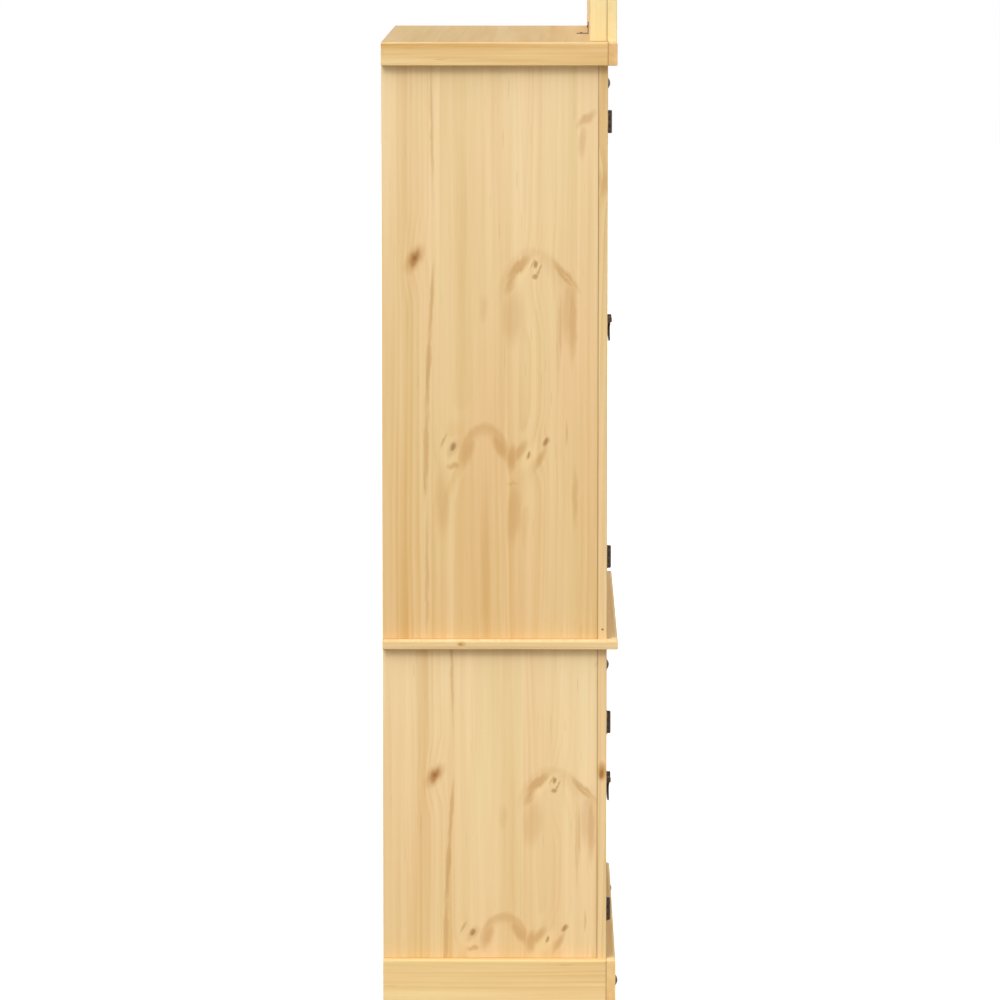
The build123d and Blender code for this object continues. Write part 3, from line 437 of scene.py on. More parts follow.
FIGURE = pine_figure()
JOINT_LINE = 0.0014  # half the width of the dark line over a joint: lacquer and dust in it, and at the sides' feet painted shade as well
JOINT_DARK = 0.42
GRAIN_BUMP = {"Strength": 0.12, "Distance": 0.0002}
LIPPED_FACING = 0.7


def in_order(tree, vector, order):
    """A vector with its parts in the order in which the axes are named."""
    apart = add(tree, "SeparateXYZ", [vector])
    return add(tree, "CombineXYZ", [apart.outputs["XYZ".index(axis)] for axis in order]).outputs[0]


def joint_lines(tree, colour, place, joints):
    """A colour with a dark line over each joint, which is a pair of an axis and the place on it."""
    apart = add(tree, "SeparateXYZ", [place])
    for axis, joint in joints:
        off = add(tree, "Math", [apart.outputs["XYZ".index(axis)], joint], operation="SUBTRACT")
        off = add(tree, "Math", [off], operation="ABSOLUTE")
        off = add(tree, "MapRange", [off, JOINT_LINE / 2, JOINT_LINE, JOINT_DARK, 0.0])
        dark = {0: off, 6: colour, 7: linear(JOINT_COLOUR)}
        colour = add(tree, "Mix", dark, data_type="RGBA").outputs[2]
    return colour


def pine(
    node,
    order,
    width,
    seed,
    pitch=None,
    start=None,
    layer=4.0,
    joints=(),
    marks=None,
    lipped=None,
    wash=WHITE,
    **looks,
):
    """Give a node lacquered pine whose width, grain and thickness run along the axes order names.

    Width is one board's. Boards in one node repeat at pitch from start across, and at layer through.
    Joints are pairs of an axis and the place on it where a dark line shows. Lipped is the order of
    axes that the faces across the grain show instead. Looks change the figure.
    """
    low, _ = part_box(node)
    width_axis, _, through_axis = ("XYZ".index(axis) for axis in order)
    made, tree = blank_material("lacquered_pine_" + node)
    place = add(tree, "TexCoord")
    turned = [in_order(tree, place.outputs[output], order) for output in ("Object", "Normal")]
    if lipped:
        facing = add(tree, "SeparateXYZ", [turned[1]]).outputs[1]
        facing = add(tree, "Math", [facing], operation="ABSOLUTE")
        facing = add(tree, "Math", [facing, LIPPED_FACING], operation="GREATER_THAN")
        for index, output in enumerate(("Object", "Normal")):
            lip = in_order(tree, place.outputs[output], lipped)
            either = add(tree, "Mix", {0: facing, 4: turned[index], 5: lip}, data_type="VECTOR")
            turned[index] = either.outputs[1]
    figure = add(tree, "Group", node_tree=FIGURE)
    values = {
        "Pitch": pitch or width,
        "Width": width,
        "Start": low[width_axis] if start is None else start,
        "Layer": layer,
        "Outer": low[through_axis],
        "Seed": seed,
        "Knots": 0.3,
        "Tone": 0.32,
        "Contrast": 0.85,
        "End": 0.75,
        "Wash": linear(wash),
    }
    values.update(looks)
    for key, value in values.items():
        figure.inputs[key].default_value = value
    for value, name in zip(turned, ("Place", "Face")):
        tree.links.new(value, figure.inputs[name])
    if marks:
        marks(tree, turned[0], figure)
    finish = {
        "Base Color": joint_lines(tree, figure.outputs["Colour"], place.outputs["Object"], joints),
        "Roughness": figure.outputs["Roughness"],
        "Normal": add(tree, "Bump", {**GRAIN_BUMP, "Height": figure.outputs["Height"]}),
        "Specular IOR Level": LACQUER_GLOSS,
    }
    shader = add(tree, "BsdfPrincipled", finish)
    add(tree, "OutputMaterial", [shader])
    frame["nodes"][node].material_slots[0].material = made


# The marks of the glued board that both left sides are cut from, in millimetres: across from the first
# glue line, down from the first knot, half width, half length, lean of the top to the front, strength.
# An arch is the upper half of a ring, and a bend's strength is how far it lifts the rings, in metres.
SWATHS = [
    (159, 17, 12, 34, 42, 0.60),
    (146, 44, 11, 28, 18, 0.50),
    (244, 32, 9, 40, -40, 0.58),
    (238, 22, 2, 34, -44, 0.40),
    (258, 110, 9, 82, 0, 0.46),
    (253, 66, 11, 26, -12, 0.32),
    (249, 100, 14, 60, 0, 0.30),
    (236, 125, 2.5, 70, 0, 0.35),
    (232, 150, 3, 110, 0, 0.24),
    (150, 106, 22, 55, 2, 0.26),
    (66, 354, 12, 34, 14, 0.46),
    (126, 347, 12, 33, -26, 0.52),
    (147, 368, 10, 25, 5, 0.52),
    (161, 356, 9, 26, 30, 0.48),
    (199, 368, 7, 26, 25, 0.45),
    (40, 382, 13, 6, 0, 0.50),
    (22, 335, 3, 14, 25, 0.50),
    (150, 414, 11, 4, 0, 0.34),
    (20, 450, 13, 66, 0, 0.30),
    (151, 470, 13, 60, 3, 0.38),
    (0, 85, 4, 80, 3, 0.48),
    (-6, 206, 5, 85, 2.5, 0.54),
    (-10, 350, 5, 95, 1, 0.44),
    (-12, 410, 2.5, 30, 0, 0.50),
    (-9, 590, 3.5, 125, 0, 0.34),
    (1, -240, 3, 135, -1, 0.32),
    (283, -254, 9, 24, 50, 0.42),
    (276, -212, 8, 32, 5, 0.28),
    (95, 92, 9, 28, 0, 0.16),
    (100, 570, 12, 165, 0, 0.18),
    (263, 440, 6, 56, 0, 0.32),
    (247, 320, 2.5, 24, 0, 0.32),
    (-31, 2, 15, 30, 28, 0.55),
]
PALE_RIMS = [
    (172, 24, 8, 46, 43, 0.50),
    (251, 40, 2, 26, -38, 0.35),
    (38, 350, 13, 31, 28, 0.45),
    (178, 365, 12, 33, 26, 0.42),
]
HEARTS = [
    (-30, 1, 10, 18, 22, 0.60),
    (-30, 0, 6, 9, 10, 0.85),
    (190, 12, 4, 8, 10, 0.65),
    (190, 33, 5, 7, 50, 0.55),
    (196, 23, 2.5, 12, 25, 0.45),
    (184, 14, 2, 13, 25, 0.30),
    (40, 346, 6, 11, 20, 0.75),
    (40, 349, 11, 23, 28, 0.26),
    (178, 363, 4, 9, 15, 0.62),
    (210, 338, 7, 9, 30, 0.70),
]
ARCHES = [
    (98, 376, 45, 69, 0, 0.36),
    (186, 78, 62, 92, 0, 0.16),
]
BENDS = [
    (-30, 0, 20, 52, 10, 0.011),
    (190, 40, 26, 70, 10, 0.013),
    (40, 360, 22, 60, 15, 0.012),
    (180, 372, 22, 60, 15, 0.012),
]
# How far out a mark ends and how far out it is still full, in its own half sizes.
SOFTNESS = {
    "Arch": (1.12, 0.95),
    "Shade": (1.3, 0.3),
    "Pale": (1.15, 0.4),
    "Heart": (1.2, 0.35),
    "Lift": (2.0, 0.0),
}
ARCH_HOLLOW = (0.6, 0.92)
ARCH_FEET = (-0.4, 0.2)
STIR_SCALE = (110.0, 30.0, 0.0)
STIR = (0.007, 0.012, 0.0)  # how far the outlines of marks wander across and along, in metres


def draw_marks(tree, place, name, marks):
    """How strongly one kind of mark shows at a place, from each mark's ellipse in millimetres."""
    total = 0.0
    rim, core = SOFTNESS[name]
    for x, y, half_width, half_length, lean, strength in marks:
        where = {
            "Vector": place,
            "Location": (x / 1000, y / 1000, 0.0),
            "Rotation": (0.0, 0.0, math.radians(lean)),
            "Scale": (half_width / 1000, half_length / 1000, 1.0),
        }
        inside = add(tree, "Mapping", where, vector_type="TEXTURE")
        size = add(tree, "VectorMath", [inside], operation="LENGTH").outputs["Value"]
        spot = add(tree, "MapRange", [size, core, rim, strength, 0.0], interpolation_type="SMOOTHSTEP")
        if name == "Arch":
            hollow = [size, *ARCH_HOLLOW, 0.0, 1.0]
            hollow = add(tree, "MapRange", hollow, interpolation_type="SMOOTHSTEP")
            height = add(tree, "SeparateXYZ", [inside]).outputs[1]
            upper = add(tree, "MapRange", [height, *ARCH_FEET, 1.0, 0.0])
            spot = add(tree, "Math", [spot, hollow], operation="MULTIPLY")
            spot = add(tree, "Math", [spot, upper], operation="MULTIPLY")
        total = add(tree, "Math", [spot, total], operation="ADD" if name == "Lift" else "MAXIMUM")
    return total


def side_marks():
    """Group: what the glued board's marks give at a place on it, across and down in metres."""
    tree = bpy.data.node_groups.new("side_board_marks", "ShaderNodeTree")
    tree.interface.new_socket("Place", in_out="INPUT", socket_type="NodeSocketVector")
    for name in ("Shade", "Pale", "Heart", "Lift"):
        tree.interface.new_socket(name, in_out="OUTPUT", socket_type="NodeSocketFloat")
    place = tree.nodes.new("NodeGroupInput").outputs["Place"]
    leave = tree.nodes.new("NodeGroupOutput")
    stretched = add(tree, "VectorMath", [place, STIR_SCALE], operation="MULTIPLY")
    stir = add(tree, "TexNoise", {"Vector": stretched, "Scale": 1.0, "Detail": 2.0})
    stir = add(tree, "VectorMath", [stir.outputs["Color"], (0.5, 0.5, 0.5)], operation="SUBTRACT")
    stir = add(tree, "VectorMath", [stir, STIR], operation="MULTIPLY")
    place = add(tree, "VectorMath", [place, stir], operation="ADD")
    for name, marks in (("Shade", SWATHS), ("Pale", PALE_RIMS), ("Heart", HEARTS), ("Lift", BENDS)):
        total = draw_marks(tree, place, name, marks)
        if name == "Shade":
            arches = draw_marks(tree, place, "Arch", ARCHES)
            total = add(tree, "Math", [total, arches], operation="MAXIMUM")
        tree.links.new(total.outputs[0], leave.inputs[name])
    return tree


MARKS = side_marks()
STAVE = 0.1333
FACE_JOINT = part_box("upper_side_left")[0][1]
WARMING = (-0.25, 0.67, 0.238, 0.509)  # from and to, in metres down the board, and the tone at each
LEFT_SEED = 3.0
RIGHT_SEED = 11.0


def left_marks(glue_line, first_knot, squeeze):
    """What draws the glued board's marks on a left side, from the heights of its glue line and knot."""

    def draw(tree, place, figure):
        apart = add(tree, "SeparateXYZ", [place])
        across = add(tree, "Math", [glue_line, apart.outputs[0]], operation="SUBTRACT")
        down = add(tree, "Math", [first_knot, apart.outputs[1]], operation="SUBTRACT")
        down = add(tree, "Math", [down, squeeze], operation="DIVIDE")
        board = add(tree, "CombineXYZ", [across, down, 0.0])
        marks = add(tree, "Group", [board], node_tree=MARKS)
        for name in ("Shade", "Pale", "Heart", "Lift"):
            tree.links.new(marks.outputs[name], figure.inputs[name])
        warmer = add(tree, "MapRange", [down, *WARMING])
        tree.links.new(warmer.outputs[0], figure.inputs["Tone"])

    return draw


# Where the first glue line and knot lie on each left side, and how much its marks are squeezed along.
LEFT_BOARDS = {"upper": (0.1242, 1.3851, 1.0), "lower": (0.0886, 0.4290, 0.85)}
FEET = {"upper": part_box("counter_top")[1][2], "lower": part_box("plinth_sides")[1][2]}
for level, (glue_line, first_knot, squeeze) in LEFT_BOARDS.items():
    marks = left_marks(glue_line, first_knot, squeeze)
    # At each side's foot, where it stands on the counter or the plinth, the dark line is painted shade in
    # that corner as well as the joint's own line.
    joints = [("Y", FACE_JOINT), ("Z", FEET[level])]
    shared = {"start": glue_line - 3 * STAVE, "joints": joints}
    left = {"marks": marks, "Knots": 0.0, "Contrast": 0.55}
    pine(f"{level}_side_left", "YZX", STAVE, LEFT_SEED, **left, **shared)
    pine(f"{level}_side_right", "YZX", STAVE, RIGHT_SEED, Knots=0.25, **shared)

# ---------------------------------------------------------------- floors and shelves
# Pine staves glued up to the depth of the cupboard, lacquered, with the grain running across. The
# floors lie in housings, the shelves loose on beech pegs.
SHELF_STAVE = 0.098
SHELF_SPACING = 0.2487
for node, seed in (("lower_floor", 21.0), ("upper_floor", 22.0), ("lower_shelf", 23.0)):
    pine(node, "YXZ", SHELF_STAVE, seed)
pine("upper_shelves", "YXZ", SHELF_STAVE, 24.0, layer=SHELF_SPACING)

# ---------------------------------------------------------------- backs
# Tongued pine boards upright side by side, in one plain panel with a V at each joint, lacquered and
# let into rebates along the sides.
BACK_BOARD = 0.0947
for node, seed in (("lower_back", 31.0), ("upper_back", 32.0)):
    pine(node, "XZY", BACK_BOARD, seed, start=-BACK_BOARD / 2, Knots=0.4)

# ---------------------------------------------------------------- face frames
# Solid pine rails butted between stiles and glued to the front edges of the sides, sanded and
# lacquered. Every piece is cut from one board.
FACE_STILE_W = 0.05
FACE_RAIL_W = 0.07
STILE_PITCH = 0.916


def left_spot(order, middle, marks_of):
    """What draws marks round one place, given on two axes, on the left half of a board."""

    def draw(tree, place, figure):
        parts = dict(zip(order, add(tree, "SeparateXYZ", [place]).outputs))
        offs = [add(tree, "Math", [parts[axis], at], operation="SUBTRACT") for axis, at in middle.items()]
        where = add(tree, "CombineXYZ", [offs[0], offs[1], 0.0])
        left = add(tree, "Math", [parts["X"], 0.0], operation="LESS_THAN")
        for name, marks in marks_of.items():
            shown = add(tree, "Math", [draw_marks(tree, where, name, marks), left], operation="MULTIPLY")
            tree.links.new(shown.outputs[0], figure.inputs[name])

    return draw


# A brown knot that breaks out at the edge of the lower left stile, and a nail's filled hole in the upper.
KNOT_AT_EDGE = {"Shade": [(0, 2, 9, 19, 0, 0.85)], "Heart": [(1, -3, 5, 11, 8, 0.7)]}
NAIL_HOLE = {"Heart": [(0, 0, 2.8, 2.2, 0, 1.0)]}
STILE_SPOTS = {
    "lower": left_spot("XZY", {"Y": -0.1895, "Z": 0.434}, KNOT_AT_EDGE),
    "upper": left_spot("XZY", {"Y": -0.190, "Z": 0.7006}, NAIL_HOLE),
}
for level, seed in (("lower", 41.0), ("upper", 45.0)):
    shared = {"pitch": STILE_PITCH, "start": -STILE_PITCH, "joints": [("Y", FACE_JOINT)]}
    pine(f"{level}_stiles", "XZY", FACE_STILE_W, seed, marks=STILE_SPOTS[level], Knots=0.1, **shared)
    low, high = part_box(f"{level}_rails")
    butts = [("X", low[0]), ("X", high[0])]
    rail_pitch = (high[2] - low[2]) / 2
    pine(f"{level}_rails", "ZXY", FACE_RAIL_W, seed + 1, pitch=rail_pitch, joints=butts)

# ---------------------------------------------------------------- counter and top board
# Glued boards with the grain running from end to end, the counter's ends lipped with strips. The top
# board is painted darker and greyer than the rest, as shade on its upward face.
COUNTER_STAVE = 0.112
TOP_STAVE = 0.104
# a grey wash that paints shade on the top board's upward face
TOP_SHADE_WASH = "dddcd5"
EDGE_KNOT = {
    "Shade": [(0, 0, 9, 6, 0, 0.6), (-60, -6, 250, 4, 0, 0.3)],
    "Heart": [(2, 0, 4, 3, 0, 0.4)],
}
counter_knot = left_spot("ZYX", {"Y": 0.0695, "Z": 0.675}, EDGE_KNOT)
lipping = {"marks": counter_knot, "lipped": "ZYX", "End": 0.15}
pine("counter_top", "YXZ", COUNTER_STAVE, 51.0, Knots=0.12, **lipping)
# the top board's higher tone and grey wash are painted shade
pine("top_board", "YXZ", TOP_STAVE, 52.0, wash=TOP_SHADE_WASH, Tone=0.46, Contrast=0.5, Knots=0.15)

# ---------------------------------------------------------------- plinth and cornice
# Planed pine boards, rounded along the top and lacquered. They are glued and nailed round the foot and
# the head, the front board over the ends of the sides.
MOULDING_BOARD = 0.08
MOULDING_WASH = "fffdf2"
SIDES_CONTRAST = {"plinth": 1.0, "cornice": 1.7}
ONE_BOARD = 4.0  # a pitch that is wider than any piece, which is then cut from one board
FOOT_TO_START = 1.97  # and its middle, half a pitch up from the start, lies 30 mm above its foot
for piece, seed in (("plinth", 61.0), ("cornice", 65.0)):
    low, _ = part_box(f"{piece}_front")
    joints = [("Y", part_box(f"{piece}_sides")[0][1])]
    cut_from = {"pitch": ONE_BOARD, "start": low[2] - FOOT_TO_START}
    shared = {"joints": joints, "wash": MOULDING_WASH, **cut_from}
    pine(f"{piece}_front", "ZXY", MOULDING_BOARD, seed, End=0.35, **shared)
    flanks = {"layer": 1.0, "Contrast": SIDES_CONTRAST[piece], "Knots": 0.0}
    pine(f"{piece}_sides", "ZYX", MOULDING_BOARD, seed + 1, **flanks, **shared)

# ---------------------------------------------------------------- crown
# A sawn and sanded front board with two end blocks, all coloured paler than the other boards, and a
# plain back board behind them. They are glued together and held to the top by an iron angle.
CROWN_BOARDS = {"front": 0.15, "back": 0.09, "ends": 0.05}
CROWN_STARTS = {"front": -0.17, "back": -0.2, "ends": -2.2}
CROWN_JOINT = [("Y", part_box("crown_ends")[0][1])]
PALER_CROWN = {"joints": CROWN_JOINT, "wash": "fffff2", "Tone": -0.04, "Contrast": 0.6, "End": 0.0}
CROWN_LOOKS = {"front": PALER_CROWN, "back": {}, "ends": {"layer": 0.8, "Knots": 0.0, **PALER_CROWN}}
for part, order, seed in (("front", "ZXY", 71.0), ("back", "ZXY", 72.0), ("ends", "YZX", 73.0)):
    cut_from = {"pitch": ONE_BOARD, "start": CROWN_STARTS[part]}
    pine(f"crown_{part}", order, CROWN_BOARDS[part], seed, **cut_from, **CROWN_LOOKS[part])

# ---------------------------------------------------------------- dowels and pegs
# Turned beech, left unfinished: the dowels are glued across the joints, the pegs pushed into holes in
# the sides. It looks matt, pinkish brown, with short pores along the grain.
BEECH = ("d9b083", "b98a5c")
BEECH_PORES = (300.0, 900.0, 900.0)
BEECH_ROUGHNESS = 0.62
beech, tree = blank_material("turned_beech")
place = add(tree, "TexCoord")
stretched = add(tree, "VectorMath", [place.outputs["Object"], BEECH_PORES], operation="MULTIPLY")
pores = add(tree, "TexNoise", {"Vector": stretched, "Scale": 1.0, "Detail": 3.0})
pale, dark = (linear(shade) for shade in BEECH)
colour = add(tree, "Mix", {0: pores, 6: pale, 7: dark}, data_type="RGBA").outputs[2]
shader = add(tree, "BsdfPrincipled", {"Base Color": colour, "Roughness": BEECH_ROUGHNESS})
add(tree, "OutputMaterial", [shader])
for node in ("dowels", "shelf_pegs"):
    frame["nodes"][node].material_slots[0].material = beech

# ---------------------------------------------------------------- hinges and bracket
# Surface hinges of pressed iron plate and the angle behind the crown, under a black-brown satin
# lacquer that shows soft dents and is worn a little brighter along the edges.
LACQUER = ("2a1e17", "48362a")
WORN_LACQUER = "75604e"
WORN_EDGES = (0.51, 0.56, 0.0, 0.7)  # how pointed an edge is from and to, and how worn at each
IRON_ROUGHNESS = (0.28, 0.48)
DENTS = 260.0  # to the metre
DENT_BUMP = {"Strength": 0.5, "Distance": 0.0005}
MOTTLE = 140.0
iron, tree = blank_material("lacquered_iron")
place = add(tree, "TexCoord").outputs["Object"]
dents = add(tree, "TexVoronoi", {"Vector": place, "Scale": DENTS}, feature="SMOOTH_F1")
mottle = add(tree, "TexNoise", {"Vector": place, "Scale": MOTTLE, "Detail": 3.0})
dark, light = (linear(shade) for shade in LACQUER)
colour = add(tree, "Mix", {0: mottle, 6: dark, 7: light}, data_type="RGBA").outputs[2]
pointed = add(tree, "NewGeometry").outputs["Pointiness"]
worn = add(tree, "MapRange", [pointed, *WORN_EDGES])
colour = add(tree, "Mix", {0: worn, 6: colour, 7: linear(WORN_LACQUER)}, data_type="RGBA").outputs[2]
rough = add(tree, "MapRange", [mottle, 0.3, 0.7, *IRON_ROUGHNESS])
bump = add(tree, "Bump", {**DENT_BUMP, "Height": dents.outputs["Distance"]})
shader = add(tree, "BsdfPrincipled", {"Base Color": colour, "Roughness": rough, "Normal": bump})
add(tree, "OutputMaterial", [shader])
frame["nodes"]["hinge_pins"].material_slots[0].material = iron

SAME_PLACE = 1e-6
FLAT = math.radians(1)
SHARP = math.radians(40)
IRON_EASE = 0.0003


def merged_copy(node):
    """A CAD node's own shape as closed shells with whole faces."""
    form = bmesh.new()
    form.from_mesh(frame["nodes"][node].data)
    bmesh.ops.remove_doubles(form, verts=form.verts, dist=SAME_PLACE)
    bmesh.ops.dissolve_limit(form, angle_limit=FLAT, verts=form.verts, edges=form.edges)
    return form


def finished(form, name, body, replaced=(), ease=0.0, slot="black_iron", material=iron):
    """Make a form a piece that rides on a body, stands for CAD nodes and has its sharp edges eased."""
    bmesh.ops.remove_doubles(form, verts=form.verts, dist=SAME_PLACE)
    bmesh.ops.recalc_face_normals(form, faces=form.faces)
    mesh = bpy.data.meshes.new(name)
    form.to_mesh(mesh)
    form.free()
    mesh.polygons.foreach_set("use_smooth", [True] * len(mesh.polygons))
    mesh.set_sharp_from_angle(angle=SHARP)
    mesh.materials.append(material)
    piece = bpy.data.objects.new(name, mesh)
    scene.collection.objects.link(piece)
    if ease:
        eased = piece.modifiers.new("eased_edges", "BEVEL")
        eased.width = ease
        eased.segments = 2
        eased.limit_method = "ANGLE"
        eased.angle_limit = SHARP
        eased.harden_normals = True
    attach(piece, body)
    if replaced:
        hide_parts(*replaced)
    return piece


DOORS = [f"{level}_{word}" for level in ("upper", "lower") for word in ("left", "right")]
IRON_PLATES = [
    ("frame_hinge_leaves", "frame_hinge_plates", "cabinet"),
    ("crown_bracket", "crown_angle", "cabinet"),
    *((f"{door}_door_leaves", f"{door}_hinge_plates", f"{door}_door") for door in DOORS),
]
for node, name, body in IRON_PLATES:
    finished(merged_copy(node), name, body, [node], ease=IRON_EASE)

# ---------------------------------------------------------------- studs
# Forged iron nails with round heads, hammered to uneven facets and lacquered black, driven into the
# face frame and the plinth as ornament.
STUD_R = 0.0108
STUD_H = 0.0044
STUD_NAIL_R = 0.0012
STUD_NAIL_L = 0.012
STUD_DENT = 0.0005
STUD_FACETS = 15
STUD_DROP = 0.033  # below the counter and the cornice
STUD_UP = 0.010  # the lowest one's middle over its CAD node's foot
DOME_FACETS = 24
TO_FRONT = Matrix.Rotation(math.radians(90), 4, "X")
chance = random.Random(5)


def cut(form, place, normal, **clear):
    """Cut a whole form along a plane."""
    geometry = form.verts[:] + form.edges[:] + form.faces[:]
    bmesh.ops.bisect_plane(form, geom=geometry, plane_co=place, plane_no=normal, **clear)


def round_head(radius, height, shank_radius, shank_length, facets=DOME_FACETS):
    """A low dome over a shank: the flat of the head lies at the origin, the shank runs down -Z."""
    form = bmesh.new()
    sphere = (radius**2 + height**2) / (2 * height)
    centre = Matrix.Translation((0, 0, height - sphere))
    rows = {"u_segments": facets, "v_segments": DOME_FACETS}
    bmesh.ops.create_uvsphere(form, radius=sphere, matrix=centre, **rows)
    cut(form, (0, 0, 0), (0, 0, 1), clear_inner=True)
    rim = [edge for edge in form.edges if edge.is_boundary]
    foot = bmesh.ops.contextual_create(form, geom=rim)["faces"]
    bmesh.ops.inset_region(form, faces=foot, thickness=radius - shank_radius)
    grown = bmesh.ops.extrude_face_region(form, geom=foot)["geom"]
    moved = [item for item in grown if isinstance(item, bmesh.types.BMVert)]
    bmesh.ops.translate(form, vec=(0, 0, -shank_length), verts=moved)
    return form


def stamped(form, pattern, place):
    """Add a copy of a pattern form to a form, at a place."""
    mesh = bpy.data.meshes.new("pattern")
    pattern.to_mesh(mesh)
    mesh.transform(place)
    form.from_mesh(mesh)
    bpy.data.meshes.remove(mesh)


frame_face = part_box("upper_stiles")[0][1]
plinth_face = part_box("plinth_front")[0][1]
stile_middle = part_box("upper_stiles")[1][0] - FACE_STILE_W / 2
stud_heights = {
    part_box("studs")[0][2] + STUD_UP: plinth_face,
    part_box("counter_top")[0][2] - STUD_DROP: frame_face,
    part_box("cornice_front")[0][2] - STUD_DROP: frame_face,
}
form = bmesh.new()
for height, face in stud_heights.items():
    for side in (-1, 1):
        stud = round_head(STUD_R, STUD_H, STUD_NAIL_R, STUD_NAIL_L, STUD_FACETS)
        for vert in stud.verts:
            if vert.co.z > STUD_DENT:
                vert.co.z -= chance.random() * STUD_DENT
        place = Matrix.Translation((side * stile_middle, face, height)) @ TO_FRONT
        stamped(form, stud, place)
        stud.free()
finished(form, "hammered_studs", "cabinet", ["studs"])

# ---------------------------------------------------------------- screws
# Round-head iron wood screws with one slot, lacquered black like what they hold: the hinges, the
# pulls, the strikes and the bracket.
SCREW_HEAD_R = 0.0032
SCREW_HEAD_T = 0.0018
SCREW_SHANK_R = 0.0015
SCREW_SHANK_L = 0.0125
SLOT_W = 0.0009
SLOT_FLOOR = 0.0008
LEAF_T = 0.0016
LEAF_HALF = 0.0198
LEAF_SCREWS = ((0.012, 0.013), (0.012, -0.013), (0.024, 0.0))  # out from the pin, up from the middle
PLATE_T = 0.0022
PLATE_SINK = 0.0011
PLATE_DROP = 0.012
PLATE_SCREW = 0.023
BRACKET_HOLE = 0.014
BRACKET_T = 0.0016
TO_BACK = Matrix.Rotation(math.radians(-90), 4, "X")

screw = round_head(SCREW_HEAD_R, SCREW_HEAD_T, SCREW_SHANK_R, SCREW_SHANK_L)
for side in (-1, 1):
    cut(screw, (side * SLOT_W / 2, 0, 0), (1, 0, 0))
cut(screw, (0, 0, SLOT_FLOOR), (0, 0, 1))
strip = []
for face in screw.faces:
    middle = face.calc_center_median()
    if abs(middle.x) < SLOT_W / 2 and middle.z > SLOT_FLOOR:
        strip.append(face)
for item in bmesh.ops.extrude_face_region(screw, geom=strip)["geom"]:
    if isinstance(item, bmesh.types.BMVert):
        item.co.z = SLOT_FLOOR


def drive(form, place, turned):
    """Add one screw, its slot turned as it happened to end up."""
    spin = Matrix.Rotation(chance.uniform(0, math.pi), 4, "Z")
    stamped(form, screw, Matrix.Translation(place) @ turned @ spin)


joint_at = {joint["child"]: Vector(joint["pos_m"]) for joint in frame["joints"]}


def leaf_screw_places(door, way):
    """Where a door's hinge screws go: on the door's leaves for -1, on the frame's for 1."""
    axis = joint_at[f"{door}_door"].x
    out_way = way * math.copysign(1, axis)
    low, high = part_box(f"{door}_door_leaves")
    heights = (low[2] + LEAF_HALF, high[2] - LEAF_HALF)
    return [
        (axis + out_way * out, frame_face - LEAF_T, height + up)
        for height in heights
        for out, up in LEAF_SCREWS
    ]


form = bmesh.new()
for door in DOORS:
    for place in leaf_screw_places(door, 1):
        drive(form, place, TO_FRONT)
finished(form, "frame_screws", "cabinet", ["frame_hinge_screws"])

form = bmesh.new()
low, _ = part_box("crown_bracket")
drive(form, (0, low[1] + BRACKET_HOLE, low[2] + BRACKET_T), Matrix.Identity(4))
drive(form, (0, low[1] + BRACKET_T, low[2] + BRACKET_HOLE), TO_BACK)
finished(form, "crown_angle_screws", "cabinet", ["bracket_screws"])

# ---------------------------------------------------------------- doors
# Framed doors of lacquered pine: stiles and rails, tenoned and glued, round raised panels that sit
# loose in their grooves. A pressed steel strike is let into the back of each foot.
STRIKE_X = (0.015, 0.053)
STRIKE_T = 0.001
STRIKE_UP = (0.003, 0.013)
STRIKE_CORNER = 0.002
STRIKE_EASE = 0.0002
STRIKE_SCREW_SINK = 0.9 * SCREW_HEAD_T
DOOR_STILE_W = 0.062
DOOR_BOARDS = {"stiles": 0.06, "rails": 0.07, "panels": 0.105}
DOOR_RAILS = {"upper": 3, "lower": 2}
FIRST_DOOR_SEED = 81.0
SEEDS_A_DOOR = 5


def block(form, middle, size):
    """Add a block to a form, its middle and its size given."""
    place = Matrix.Translation(middle) @ Matrix.Diagonal((*size, 1.0))
    return bmesh.ops.create_cube(form, size=1.0, matrix=place)["verts"]


def round_off(form, edges, radius):
    """Round off some edges of a form."""
    shape = {"segments": 4, "profile": 0.5, "affect": "EDGES", "material": -1}
    bmesh.ops.bevel(form, geom=edges, offset=radius, **shape)


